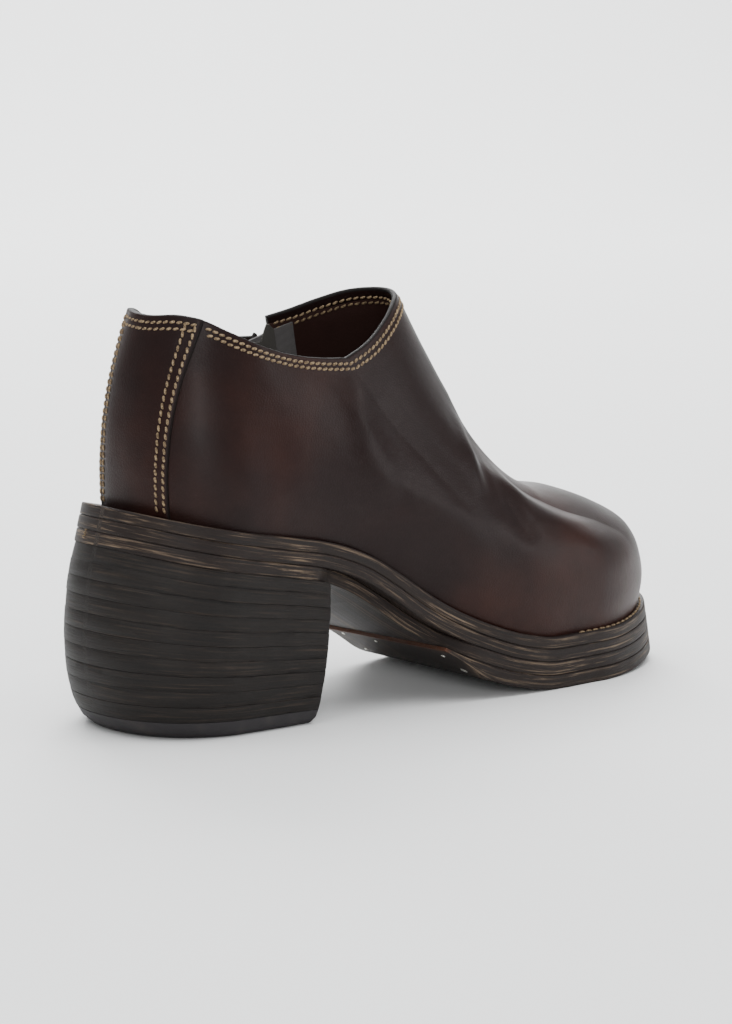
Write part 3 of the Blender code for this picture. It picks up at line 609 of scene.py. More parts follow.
zipLine = {
    "top": np.array((collar["back"] + collar["length"] * collar["innerDip"][0], collar["innerDip"][1])),
    "bottom": np.array((0.1130, 0.0650)),
    "slit": 0.0064,
    "point": 0.0045,
    "least": 0.0002,
    "pitch": 0.0024,
}
zipRun = zipLine["bottom"] - zipLine["top"]
zipLength = float(np.linalg.norm(zipRun))
zipDown = zipRun / zipLength
zipAcross = np.array((-zipDown[1], zipDown[0]))
zipTurns = 2 * math.pi - np.linspace(2.6, 1.1, 500)
skin = {
    "quarter": 108,
    "vamp": 88,
    "innerVamp": 84,
    "innerQuarter": 84,
    "lowRows": 94,
    "topRows": 24,
    "topShare": 0.9,
    "rimRows": 7,
    "rimRise": 0.0008,
    "insideRows": 30,
    "creaseStart": 0.12,
    "creaseEnd": 0.05,
}
slitColumn = skin["quarter"] + skin["vamp"] + skin["innerVamp"] - 1  # the next one lies behind the slit


def slitPlace(points):
    # how far down the zip's line and how far aside of it points lie
    offset = np.stack([points[..., 0], points[..., 2]], -1) - zipLine["top"]
    return offset @ zipDown, offset @ zipAcross


def slitHalf(along):
    # half the slit's width, which closes at its lower point; further down the columns spread a little
    inside = np.clip((zipLength - along) / zipLine["point"], 0, 1) * zipLine["slit"] / 2
    return np.maximum(inside, zipLine["least"]) + np.clip(along - zipLength, 0, 0.02) * 0.08


def besideZip(level, half=None):
    # the angles in front of the zip's line and behind it, at the slit's edges or at a distance
    along, aside = slitPlace(lastPoint(zipTurns, level, wall))
    half = slitHalf(along) if half is None else half
    return np.interp(0, half - aside, zipTurns), np.interp(0, -half - aside, zipTurns)


def skinAngles(levels):
    rows = []
    corner = math.acos(1 - 2 * collar["outerDip"][0])
    for level in levels:
        front, rear = besideZip(level)
        rows.append(np.concatenate([
            np.linspace(0, corner, skin["quarter"], endpoint=False),
            np.linspace(corner, math.pi, skin["vamp"], endpoint=False),
            np.linspace(math.pi, front, skin["innerVamp"]),
            np.linspace(rear, 2 * math.pi, skin["innerQuarter"], endpoint=False),
        ]))
    return np.array(rows)


def slitWall(outerRows, insideRows, column, columns):
    # triangles that join a column's outer points to its inside points of like height
    outerPath = [j * columns + column for j in outerRows]
    insidePath = [j * columns + column for j in insideRows]
    lastOuter, lastInside = len(outerPath) - 1, len(insidePath) - 1
    faces = []
    i = k = 0
    while i < lastOuter or k < lastInside:
        if k == lastInside or (i < lastOuter and (i + 1) / lastOuter <= (k + 1) / lastInside):
            faces.append((outerPath[i], outerPath[i + 1], insidePath[k]))
            i += 1
        else:
            faces.append((outerPath[i], insidePath[k + 1], insidePath[k]))
            k += 1
    return faces


def makeUpper():
    lowLevels = np.linspace(0, skin["topShare"], skin["lowRows"], endpoint=False)
    levels = np.concatenate([lowLevels, np.linspace(skin["topShare"], 1, skin["topRows"])])
    angles = skinAngles(levels)
    relief = creaseRelief(lastPoint(angles, levels[:, None], wall))
    relief *= ease(levels / skin["creaseStart"])[:, None]
    relief *= ease((1 - levels) / skin["creaseEnd"] + 0.25)[:, None]
    outer = lastPoint(angles, levels[:, None], wall + relief)
    outer[0, :, 2] = soleTop(outer[0, :, 0])
    face, out, up = lastFrame(angles[-1], 1.0)
    turn = np.linspace(0, math.pi, skin["rimRows"] + 2)[1:-1, None, None]
    rim = face + out * (wall / 2 + wall / 2 * np.cos(turn)) + up * skin["rimRise"] * np.sin(turn)
    insideLevels = np.linspace(1, 0, skin["insideRows"])
    inside = lastPoint(skinAngles(insideLevels), insideLevels[:, None])
    inside[-1, :, 2] = soleTop(inside[-1, :, 0])
    rows = np.concatenate([outer, rim, inside])
    count, columns = rows.shape[:2]
    firstInside = len(outer) + len(rim)
    # between the two columns beside the zip's line the slit is left open down to its lower end
    faces = gridFaces(count, columns, True)
    openRows = slitPlace(rows[:, slitColumn])[0] < zipLength
    low, high = faces[:, 0] // columns, faces[:, 3] // columns
    inSlit = (faces[:, 0] % columns == slitColumn) & openRows[low] & openRows[high]
    faces = faces[~inSlit].tolist()
    lowOuter, lowInside = np.flatnonzero(openRows)[[0, -1]].tolist()
    for column in (slitColumn, slitColumn + 1):
        insideRows = range(lowInside, firstInside - 1, -1)
        faces += slitWall(range(lowOuter, firstInside), insideRows, column, columns)
    bottom = (count - 1) * columns
    faces += [(i, (i + 1) % columns, bottom + (i + 1) % columns, bottom + i) for i in range(columns)]
    outerSill, insideSill = lowOuter * columns + slitColumn, lowInside * columns + slitColumn
    faces.append((outerSill, outerSill + 1, insideSill + 1, insideSill))
    # the folded edge at the collar is darker than the leather beside it
    cutEdge = np.zeros((count, columns))
    cutEdge[len(outer):firstInside] = 1.0
    look = {"stands": ("upper",), "sharp": 70, "values": {"cutEdge": cutEdge}}
    makePiece("upperLeather", rows.reshape(-1, 3), faces, upperPaint, "upper_leather", **look)
    quads = gridFaces(len(outer), columns, True).tolist()
    return BVHTree.FromPolygons([tuple(p) for p in outer.reshape(-1, 3)], quads)


upperSurface = makeUpper()
print("upper made")


# Shells that lie on the inside of the upper

facing = {"levels": (0.845, 0.988), "rows": 16, "under": -0.0002, "over": -0.0011}
lining = {"levels": (0.30, 0.838), "rows": 24, "under": -0.0002, "over": -0.0008}


def makeShell(name, shell, paint):
    # open at the zip, and thin along its lower and upper edge
    levels = np.linspace(*shell["levels"], shell["rows"])
    angles = np.roll(skinAngles(levels), -slitColumn - 1, axis=1)
    fromEdge = np.minimum(np.arange(shell["rows"]), np.arange(shell["rows"])[::-1])
    thick = (shell["over"] - shell["under"]) * np.minimum(1, fromEdge * 0.6 + 0.35)
    near = lastPoint(angles, levels[:, None], shell["under"])
    far = lastPoint(angles, levels[:, None], shell["under"] + thick[:, None])
    makePiece(name, *closedShell(near, far), paint, "upper_leather", sharp=60)


makeShell("collarFacing", facing, facingPaint)
makeShell("quarterLining", lining, liningPaint)


# Back strip

strip = {
    "outer": 0.0192,
    "inner": 0.0134,
    "thickness": 0.0013,
    "capRise": 0.0009,
    "bevel": 0.05,
    "channelPlace": 0.105,
    "channelWidth": 0.05,
    "channelDepth": 0.00022,
}


def stripAngles(levels, side, inward=0.0):
    # the angles of the strip's outer (1) or inner (-1) edge, or of a line some way in from it
    reach = strip["outer" if side > 0 else "inner"] - inward
    angles = side * np.linspace(0.02, 1.4, 160)
    widths = np.abs(liningFace(angles[None, :], levels[:, None])[..., 1])
    return np.array([np.interp(reach, row, angles) for row in widths])


def makeBackStrip():
    levels = np.concatenate([np.linspace(0, 0.94, 84, endpoint=False), np.linspace(0.94, 1, 12)])
    outer, inner = stripAngles(levels, 1), stripAngles(levels, -1)
    border = np.array((0, 0.012, 0.03, 0.05, 0.075))
    across = np.concatenate([border, np.linspace(0.11, 0.89, 22), 1 - border[::-1]])
    angles = inner[:, None] + (outer - inner)[:, None] * across
    fromEdge = np.minimum(across, 1 - across)
    height = strip["thickness"] * rounded(np.maximum(fromEdge, 1e-4), strip["bevel"], 2.2)
    channel = np.exp(-(((fromEdge - strip["channelPlace"]) / strip["channelWidth"]) ** 2))
    thick = wall + height - channel * strip["channelDepth"]
    relief = creaseRelief(lastPoint(angles, levels[:, None], wall))
    relief *= ease(levels / skin["creaseStart"])[:, None]
    over = lastPoint(angles, levels[:, None], thick + relief)
    under = lastPoint(angles, levels[:, None], wall - 0.0003)
    over[0, :, 2], under[0, :, 2] = soleTop(over[0, :, 0]), soleTop(under[0, :, 0])
    face, out, up = lastFrame(angles[-1], 1.0)
    turn = np.linspace(0, math.pi / 2, 5)[1:, None, None]
    cap = face + out * (wall / 2 + (thick[:, None] - wall / 2) * np.cos(turn))
    cap += up * strip["capRise"] * np.sin(turn)
    capUnder = np.repeat([face + out * wall * 0.35 + up * 0.0003], len(cap), axis=0)
    shell, back = np.concatenate([over, cap]), np.concatenate([under, capUnder])
    cutEdge = np.zeros((2, *shell.shape[:2]))
    cutEdge[0, len(over):] = 1.0
    cutEdge[0, :, (0, 1, -2, -1)] = 0.8
    look = {"stands": ("back_strip",), "sharp": 70, "values": {"cutEdge": cutEdge}}
    makePiece("backStripLeather", *closedShell(shell, back), upperPaint, "upper_leather", **look)


makeBackStrip()
print("back strip made")


# Stitches

stitching = {
    "pitch": 0.0026,
    "weltPitch": 0.0036,
    "length": 0.00220,
    "width": 0.00100,
    "height": 0.00046,
    "sides": 6,
    "slant": 16,
    "collarRows": (0.0022, 0.0046),
    "stripRows": (0.0013, 0.0036),
    "zipRows": (0.0018, 0.0041),
    "facingRows": (0.0020, 0.0043),
    "zipClear": 0.0052,
    "onUpper": 0.00012,
    "onStrip": 0.00125,
    "onFacing": 0.00115,
    "weltIn": 0.0016,
}


def stitchShape():
    # one stitch of length, width and height 1, with pinched ends that dive into the leather
    spots = np.array((-0.5, -0.44, -0.28, 0.0, 0.28, 0.44, 0.5))[:, None]
    girth = np.array((0.12, 0.62, 0.95, 1.0, 0.95, 0.62, 0.12))[:, None]
    turn = np.linspace(0, 2 * np.pi, stitching["sides"], endpoint=False)
    aside, up = 0.5 * girth * np.cos(turn), girth * np.sin(turn) - 1.6 * spots**2
    return tube(np.stack([np.broadcast_to(spots, up.shape), aside, up], -1))


def pointAt(spot, lengths, places):
    return np.array([np.interp(spot, lengths, places[:, n]) for n in range(3)])


def makeStitches(name, runs, slant=stitching["slant"]):
    shape, shapeFaces = stitchShape()
    lean, straight = math.sin(math.radians(slant)), math.cos(math.radians(slant))
    parts = []
    for places, normals, pitch in runs:
        steps = np.linalg.norm(np.diff(places, axis=0), axis=1)
        lengths = np.concatenate([[0], np.cumsum(steps)])
        size = (stitching["length"] * pitch / stitching["pitch"], stitching["width"], stitching["height"])
        for spot in np.arange(pitch / 2, lengths[-1], pitch):
            out = unit(pointAt(spot, lengths, normals))
            ahead = pointAt(spot + 0.0006, lengths, places) - pointAt(spot - 0.0006, lengths, places)
            along = squared(ahead, out)
            aside = np.cross(out, along)
            ways = (along * straight + aside * lean, aside * straight - along * lean, out)
            parts.append(placed((shape * size, shapeFaces), pointAt(spot, lengths, places), *ways))
    makePiece(name, *joined(parts), threadPaint, "upper_leather")


def levelsBelow(angles, distance):
    # the level that lies a distance under the collar's edge, for each angle
    levels = np.linspace(0.80, 1.0, 80)
    faces = lastPoint(angles[:, None], levels[None, :], wall)
    steps = np.linalg.norm(np.diff(faces, axis=1), axis=2)
    left = np.concatenate([np.cumsum(steps[:, ::-1], axis=1)[:, ::-1], np.zeros((len(angles), 1))], axis=1)
    return np.array([np.interp(distance, row[::-1], levels[::-1]) for row in left])


def collarRun(start, end, distance, out):
    angles = np.linspace(start, end, 600)
    face, normal, up = lastFrame(angles, levelsBelow(angles, distance))
    outside = out > 0
    height = out + creaseRelief(face) * 0.25 * outside
    return face + normal * height[:, None], normal * (1 if outside else -1), stitching["pitch"]


def collarStitches():
    full = 2 * math.pi
    front, rear = besideZip(0.985, stitching["zipClear"])
    stripOuter = float(stripAngles(np.array([0.97]), 1)[0])
    stripInner = float(stripAngles(np.array([0.97]), -1)[0]) + full
    onUpperFace, onStripFace = wall + stitching["onUpper"], wall + stitching["onStrip"]
    runs = []
    for distance in stitching["collarRows"]:
        runs.append(collarRun(stripOuter + 0.02, front, distance, onUpperFace))
        runs.append(collarRun(rear, stripInner - 0.02, distance, onUpperFace))
        runs.append(collarRun(stripInner + 0.05, stripOuter + full - 0.05, distance, onStripFace))
        runs.append(collarRun(0.0, front, distance, -stitching["onFacing"]))
        runs.append(collarRun(rear, full, distance, -stitching["onFacing"]))
    return runs


def stripStitches():
    runs = []
    levels = np.linspace(0.03, 0.955, 300)
    for side in (1, -1):
        for distance in stitching["stripRows"]:
            face, normal, up = lastFrame(stripAngles(levels, side, distance), levels)
            runs.append((face + normal * (wall + strip["thickness"] - 0.00002), normal, stitching["pitch"]))
    return runs


def onUpper(along, aside=0.0, out=0.0):
    # a point on the upper's inner side beside the zip, and the direction out of the face there
    x, z = zipLine["top"] + zipDown * along + zipAcross * aside
    hit, normal = upperSurface.ray_cast(Vector((x, 0.08, z)), Vector((0, -1, 0)))[:2]
    if hit is None:
        return None
    normal = np.array(normal) * (1 if normal[1] > 0 else -1)
    return np.array(hit) + normal * out, normal


def zipStitches():
    runs = []
    low = zipLength - 0.002
    for distance in stitching["zipRows"]:
        wide = zipLine["slit"] / 2 + distance
        path = [(a, -wide) for a in np.linspace(0.0095, low, 60)]
        path += [(zipLength + distance * 1.3, 0.0)]
        path += [(a, wide) for a in np.linspace(low, 0.0050, 60)]
        found = [pair for pair in (onUpper(a, s, 0.0001) for a, s in path) if pair]
        places, normals = (np.array(column) for column in zip(*found))
        runs.append((places, normals, stitching["pitch"]))
    return runs


def weltStitches():
    angles = np.linspace(2.1, 2 * math.pi - 2.1, 800)
    share, side = around(angles)
    setIn = stitching["weltIn"]
    x = setIn + (sole["length"] - 2 * setIn) * share
    y = halfWidth(share, side) + (sole["ledge"] - setIn) * endShare(share)
    places = underSole(x, middleLine(share) + side * y, -0.00008)
    normals = unit(underSole(x, y, -0.001) - underSole(x, y, 0.0))
    return [(places, normals, stitching["weltPitch"])]


def facingStitches():
    # two rows down the facing's end beside the zip, seen inside the shoe
    levels = np.linspace(0.86, 0.972, 80)
    front = skinAngles(levels)[:, slitColumn]
    step = np.linalg.norm(lastPoint(front + 0.01, levels) - lastPoint(front, levels), axis=1) / 0.01
    runs = []
    for distance in stitching["facingRows"]:
        face, normal, up = lastFrame(front - distance / step, levels)
        runs.append((face - normal * stitching["onFacing"], -normal, stitching["pitch"]))
    return runs


makeStitches("collarStitching", collarStitches())
makeStitches("facingStitching", facingStitches())
makeStitches("stripStitching", stripStitches())
makeStitches("zipStitching", zipStitches())
makeStitches("weltStitching", weltStitches(), slant=0)
print("stitches made")


# Sole and heel

def wavy(angle, seed):
    # a hand-cut edge is never quite even
    broad = math.sin(seed * 3.1 + 1) * np.sin(5 * angle + seed)
    middle = np.sin(11 * angle + seed * 2.3)
    fine = np.sin(23 * angle - seed * 1.7)
    return 0.00012 * broad + 0.00009 * middle + 0.00006 * fine


def waistInset(x):
    share = x / sole["length"]
    (start, startRun), (end, endRun) = sole["waistStart"], sole["waistEnd"]
    return sole["waistInset"] * ease((share - start) / startRun) * ease((end - share) / endRun)


def soleOutline(setIn, depth, seed, waisted=False):
    angle = np.linspace(0, 2 * math.pi, sole["columns"], endpoint=False)
    share, side = around(angle)
    x = setIn + (sole["length"] - 2 * setIn) * share
    y = halfWidth(share, side) + (sole["ledge"] - setIn + wavy(angle, seed)) * endShare(share)
    if waisted:
        y = y - np.minimum(waistInset(x), y)
    return underSole(x, middleLine(share) + side * y, depth)


def waistedOutline(setIn, depth, seed):
    return soleOutline(setIn, depth, seed, True)


def insoleOutline(setIn, depth):
    angle = np.linspace(0, 2 * math.pi, sole["columns"], endpoint=False)
    share, side = around(angle)
    inner = setIn + 0.0006
    x = sole["heelLedge"] + inner + (sole["length"] - sole["heelLedge"] - sole["ledge"] - 2 * inner) * share
    y = middleLine(share) + side * (halfWidth(share, side) - inner * endShare(share))
    return underSole(x, y, depth)


def inHalfSole(x, y, depth=sole["foreHeight"]):
    # a point of the half sole, which is skived thin toward its back edge
    length, thin = sole["skive"]
    behind = sole["halfStart"] + sole["halfSkew"] * y / sole["ballWidth"]
    full = thin + (1 - thin) * ease((x - behind) / length)
    above = sum(sole["layers"])
    return underSole(x, y, above + (depth - above) * full)


def halfSoleOutline(setIn, depth, seed):
    columns = sole["columns"] // 3
    tip = sole["length"] - setIn
    sides = []
    for side in (-1.0, 1.0):
        back = sole["halfStart"] + sole["halfSkew"] * side / 2
        x = tip - (tip - back) * (1 - np.cos(np.linspace(0, math.pi / 2, columns)))
        share = (x - setIn) / (sole["length"] - 2 * setIn)
        y = halfWidth(share, side) + (sole["ledge"] - setIn + wavy(x * 30, seed)) * endShare(share)
        sides.append(np.stack([x, middleLine(share) + side * y], -1))
    across = np.linspace(0, 1, sole["backPoints"] + 2)[1:-1, None]
    backEdge = sides[0][-1] + (sides[1][-1] - sides[0][-1]) * across
    loop = np.concatenate([sides[0], backEdge, sides[1][:0:-1]])
    return inHalfSole(loop[:, 0], loop[:, 1], depth)


def edgeValues(outlines, depths):
    run = np.concatenate([[0], np.cumsum(np.linalg.norm(np.diff(outlines[0], axis=0), axis=1))])
    return {"edgeRun": np.tile(run, len(outlines)), "edgeDepth": np.repeat(depths, len(outlines[0]))}


def makeLayer(name, node, top, bottom, shape, seed):
    eased = ((0.0006, 0.0), (0.00022, 0.00006), (0.00005, 0.00028), (0.0, 0.0009))
    levels = [(setIn, top + down) for setIn, down in eased]
    levels += [(setIn, bottom - down) for setIn, down in eased[::-1]]
    outlines = [shape(setIn, depth, seed) for setIn, depth in levels]
    values = edgeValues(outlines, [depth + seed * 0.01 for setIn, depth in levels])
    if shape is halfSoleOutline:
        first = sole["columns"] // 3
        raw = np.zeros(len(outlines[0]))
        raw[first - 1:first + sole["backPoints"] + 1] = 1.0
        values["rawEdge"] = np.tile(raw, len(outlines))
    look = {"stands": (node,), "sharp": 50, "values": values}
    makePiece(name, *stacked(outlines), edgePaint, "sole_leather", **look)


depth = 0.0
longLayers = (("weltLayer", "welt"), ("midsoleLayer", "midsole"), ("outsoleLayer", "outsole"))
for seed, ((name, node), thick) in enumerate(zip(longLayers, sole["layers"]), 1):
    shape = waistedOutline if node == "outsole" else soleOutline
    makeLayer(name, node, depth, depth + thick - 0.00003, shape, seed)
    depth += thick
makeLayer("halfSoleLayer", "half_sole", depth, sole["foreHeight"], halfSoleOutline, 5)
insoleRows = ((0.0, -0.0005), (0.0, -0.0022), (0.0003, -0.0026), (0.0012, -0.0028))
insoleParts = stacked([insoleOutline(setIn, depth) for setIn, depth in insoleRows])
makePiece("insoleLeather", *insoleParts, insolePaint, "insole_leather", stands=("insole",), sharp=40)


nick = {
    "turn": -0.12,
    "out": np.array((-0.96, -0.15, 0.20)),
    "fibres": 7,
    "depth": 0.0092,
    "apart": 0.00050,
    "length": 0.0016,
    "girth": 0.00022,
    "arch": 0.0007,
}


def makeNick():
    # a few raised fibres at the chipped corner at the back of the sole
    share, side = around(nick["turn"])
    wide = float(side * (halfWidth(share, side) + sole["ledge"] * endShare(share)))
    out = nick["out"]
    parts = []
    for n in range(nick["fibres"]):
        x = float(sole["length"] * share) + 0.0004 * math.sin(n * 2.1)
        root = underSole(x, wide, nick["depth"] + nick["apart"] * n)
        along = unit(np.array((0.30, -0.93, 0.45 * math.sin(n * 1.7))))
        across = unit(np.cross(along, out))
        length = nick["length"] + 0.0007 * math.sin(n * 1.3) ** 2
        rings = []
        for t in np.linspace(0, 1, 5):
            lift = nick["arch"] * math.sin(math.pi * t) - 0.0002
            centre = root + along * length * (t - 0.5) + out * lift
            girth = nick["girth"] * (1 - 0.75 * abs(2 * t - 1))
            corners = [math.cos(a) * across + math.sin(a) * out for a in (0, 2.09, 4.19)]
            rings.append([centre + girth * corner for corner in corners])
        parts.append(tube(rings))
    makePiece("frayedFibres", *joined(parts), threadPaint, "sole_leather")


makeNick()
print("sole made")

heel = {
    "lifts": 10,
    "topPiece": 0.0060,
    "halfWidth": 0.0385,
    "length": 0.0725,
    "hollow": 0.0015,
    "corner": 0.0015,
    "uneven": 0.00005,
    "columns": 46,
    "topPieceEdge": ((0, 0.0013), (0.05, 0.0008), (0.10, 0.0002), (0.5, 0), (0.975, 0.00004), (1, 0.0003)),
    "liftEdge": ((0, 0.00012), (0.025, 0.00001), (0.5, 0), (0.975, 0.00001), (1, 0.00012)),
    "height": (0.00, 0.03, 0.08, 0.16, 0.30, 0.48, 0.70, 0.88, 1.00),
    "width": (0.90, 0.93, 0.955, 0.975, 0.995, 1.00, 0.985, 0.965, 0.955),
    "breast": (0.890, 0.905, 0.915, 0.925, 0.94, 0.96, 0.98, 0.995, 1.00),
    "back": (0.040, -0.005, -0.040, -0.075, -0.105, -0.117, -0.105, -0.080, -0.050),
}


def heelSeat(x):
    line = underSole(np.linspace(-0.03, 0.12, 200), np.zeros(200), sum(sole["layers"]))
    return np.interp(x, line[:, 0], line[:, 2])


def heelOutline(share, setIn, drop, seed):
    wide = heel["halfWidth"] * curve(heel["height"], heel["width"], share) - setIn
    breast = heel["length"] * curve(heel["height"], heel["breast"], share) - setIn
    back = heel["length"] * curve(heel["height"], heel["back"], share) + setIn
    turn = np.linspace(0, math.pi / 2, heel["columns"])
    x = back + (breast - back) * (1 - np.cos(turn))
    y = wide * rounded((x - back) / (breast - back), 1.04 * wide / (breast - back), heelSquareness)
    y = y * (1 + wavy(turn * 3, seed) / wide)
    corner = np.linspace(0, math.pi / 2, 6)
    cornerX = breast - heel["corner"] * (1 - np.sin(corner))
    cornerY = y[-1] - heel["corner"] * (1 - np.cos(corner))
    keep = x < breast - heel["corner"] * 1.2
    rim = np.stack([np.concatenate([x[keep], cornerX]), -np.concatenate([y[keep], cornerY])], -1)
    side = np.linspace(1, 0, 8)[1:-1]
    hollow = np.stack([breast - heel["hollow"] * (1 - side**2), rim[-1, 1] * side], -1)
    middle = [[breast - heel["hollow"], 0.0]]
    half = np.concatenate([rim, hollow])
    loop = np.concatenate([half, middle, (half * (1, -1))[:0:-1]])
    return np.column_stack([loop, heelSeat(loop[:, 0]) * share - drop])


def makeHeel():
    first = heel["topPiece"] / heelSeat(heel["length"] / 2)
    shares = np.concatenate([[0.0], np.linspace(first, 1.0, heel["lifts"] + 1)])
    for i, (low, high) in enumerate(zip(shares[:-1], shares[1:])):
        if i == 0:
            edge, uneven = heel["topPieceEdge"], 0.0
            node, name, paint, slotName = "heel_top_piece", "heelTopPiece", topPiecePaint, "top_piece_rubber"
        else:
            edge, uneven = heel["liftEdge"], heel["uneven"] * math.sin(i * 2.4)
            node, name, paint, slotName = f"heel_lift_{i:02d}", f"heelLift{i:02d}", heelPaint, "heel_leather"
        rows = [(low + (high - low) * part, setIn - uneven * (0 < part < 1)) for part, setIn in edge]
        outlines = [heelOutline(share, setIn, 0.00002 * (n > 0), i) for n, (share, setIn) in enumerate(rows)]
        values = edgeValues(outlines, [share * 0.064 + 0.013 * i for share, setIn in rows])
        look = {"stands": (node,), "sharp": 50, "values": values}
        makePiece(name, *stacked(outlines), paint, slotName, **look)


makeHeel()
print("heel made")


# Small metal: nails, tacks and zip

def dome(centre, outward, radius, rise, rings=5, sides=16):
    # a nail's rounded head on a short straight stem
    outward = unit(np.array(outward, float))
    first = unit(np.cross(outward, (0.3, 0.9, 0.2)))
    second = np.cross(outward, first)
    turn = np.linspace(0, 2 * np.pi, sides, endpoint=False)
    ring = np.cos(turn)[:, None] * first + np.sin(turn)[:, None] * second
    rows = [centre - outward * 0.0006 + ring * radius]
    for share in np.linspace(0, 1, rings)[:-1]:
        tilt = share * math.pi / 2
        rows.append(centre + outward * rise * math.sin(tilt) + ring * radius * math.cos(tilt))
    points = np.concatenate(rows + [[centre + outward * rise]])
    faces = gridFaces(len(rows), sides, True).tolist() + [tuple(range(sides - 1, -1, -1))]
    top, last = len(points) - 1, (len(rows) - 1) * sides
    faces += [(last + i, last + (i + 1) % sides, top) for i in range(sides)]
    return points, faces


nails = {
    "places": ((0.0105, 0.0), (0.0575, 0.0270), (0.0575, -0.0270)),
    "radius": 0.0013,
    "rise": 0.00015,
}
tacks = {
    "places": ((0.1345, -0.0325), (0.1380, 0.0300), (0.1500, 0.0310), (0.1375, 0.010), (0.1435, -0.0335)),
    "radii": (0.0008, 0.0008, 0.0009, 0.0007, 0.0015),
    "rise": 0.00035,
}


def makeNails():
    down = (0, 0, -1)
    parts = [dome(np.array((x, y, 0.0)), down, nails["radius"], nails["rise"]) for x, y in nails["places"]]
    makePiece("heelNails", *joined(parts), copperPaint, "zip_metal", sharp=50)


def makeTacks():
    parts = []
    for (x, y), radius in zip(tacks["places"], tacks["radii"]):
        slope = inHalfSole(x + 0.002, y) - inHalfSole(x - 0.002, y)
        parts.append(dome(inHalfSole(x, y), (slope[2], 0.0, -slope[0]), radius, tacks["rise"]))
    makePiece("soleTacks", *joined(parts), tackPaint, "zip_metal", sharp=50)


makeNails()
makeTacks()


def slab(shape, low, high, edge):
    # a flat outline made thick, with rounded edges; the outline runs round a convex or waisted form
    following, before = np.roll(shape, -1, axis=0), np.roll(shape, 1, axis=0)
    along = following - before
    normal = unit(np.stack([along[:, 1], -along[:, 0]], -1))
    area = np.sum(shape[:, 0] * following[:, 1] - following[:, 0] * shape[:, 1])
    normal *= -1 if area > 0 else 1
    eased = ((edge, 0), (edge * 0.3, edge * 0.3), (0, edge))
    levels = [(inward, low + up) for inward, up in eased]
    levels += [(inward, high - up) for inward, up in eased[::-1]]
    return tube([np.column_stack([shape + normal * i, np.full(len(shape), z)]) for i, z in levels])


def loopSlab(outer, inner, low, high, edge):
    # a ring between two outlines with the same number of points
    middle = (outer + inner) / 2
    levels = ((0.75, low), (1.0, low + edge), (1.0, high - edge), (0.75, high))
    rows = []
    for side, order in ((outer, levels), (inner, levels[::-1])):
        for share, height in order:
            rows.append(np.column_stack([middle + (side - middle) * share, np.full(len(side), height)]))
    count = len(outer)
    last = (len(rows) - 1) * count
    faces = gridFaces(len(rows), count, True).tolist()
    faces += [(last + i, last + (i + 1) % count, (i + 1) % count, i) for i in range(count)]
    return np.concatenate(rows), faces


hinge = frame["joints"][0]
pullAxis = -np.array(hinge["axis"], float)
pullAxle = np.array(hinge["pos_m"], float) - shoeShift
slider = {
    "start": 0.0090,
    "length": 0.0110,
    "width": 0.0088,
    "lift": 0.0007,
    "thickness": 0.0022,
    "axleHeight": 0.0013,
    "axleBack": 0.0008,
    "archLength": 0.0050,
    "archHeight": 0.0029,
    "archWidth": 0.0022,
    "archThickness": 0.0010,
}
pull = {
    "eyeMiddle": 0.0027,
    "eyeOuter": (0.0033, 0.0032),
    "eyeInner": (0.0021, 0.0018),
    "eyeSquareness": 2 / 0.62,
    "thickness": 0.00124,
    "steps": (0.0052, 0.0068, 0.0085, 0.0110, 0.0135, 0.0150, 0.0165, 0.0185, 0.0215, 0.0235, 0.0245),
    "half": (0.0015, 0.0013, 0.0011, 0.00105, 0.0012, 0.0018, 0.0027, 0.0031, 0.0031, 0.0028, 0.0014),
}


def sliderDirections():
    # down the zip, aside along the pull's axle, and out of the upper
    half = slider["length"] / 2
    middle = slider["start"] + half
    aside = unit(pullAxis)
    down = squared(onUpper(middle + half)[0] - onUpper(middle - half)[0], aside)
    out = np.cross(down, aside)
    return down, aside, out * np.sign(out[1])


sliderWays = sliderDirections()
pullHeight = slider["lift"] + slider["thickness"] + slider["axleHeight"]
sliderMiddle = pullAxle + sliderWays[0] * slider["axleBack"] - sliderWays[2] * pullHeight


def roundedBox(long, wide, squareness, count=28):
    turn = np.linspace(0, 2 * np.pi, count, endpoint=False)
    c, s = np.cos(turn), np.sin(turn)
    x = long * np.sign(c) * np.abs(c) ** (2 / squareness)
    y = wide * np.sign(s) * np.abs(s) ** (2 / squareness)
    return np.stack([x, y], -1)


def makeSlider():
    low, high = slider["lift"], slider["lift"] + slider["thickness"]
    half, wide = slider["length"] / 2, slider["width"] / 2
    plateShape = roundedBox(half, wide, 3.6, 36)
    plateShape[:, 1] *= 0.84 + 0.16 * np.cos(np.clip(plateShape[:, 0] / slider["length"] + 0.5, 0, 1) * 1.4)
    plate = slab(plateShape, low, high, 0.0005)
    neck = slab(roundedBox(0.0050, 0.0019, 4.0), -0.0019, low + 0.0004, 0.0002)
    arch = np.linspace(0, math.pi, 17)
    across = slider["archLength"] / 2 * np.cos(arch)
    up = high - 0.0002 + slider["archHeight"] * np.sin(arch) ** 0.8
    line = np.stack([across, up], -1)
    turn = np.linspace(0, 2 * np.pi, 12, endpoint=False)
    rings = []
    for i, place in enumerate(line):
        ahead = unit(line[min(i + 1, 16)] - line[max(i - 1, 0)])
        x, z = place[:, None] + np.outer((ahead[1], -ahead[0]), np.cos(turn)) * slider["archThickness"] / 2
        rings.append(np.column_stack([x, slider["archWidth"] / 2 * np.sin(turn), z]))
    parts = [placed(part, sliderMiddle, *sliderWays) for part in (plate, neck, tube(rings))]
    makePiece("zipSlider", *joined(parts), zipPaint, "zip_metal", stands=("zip_slider",), sharp=45)


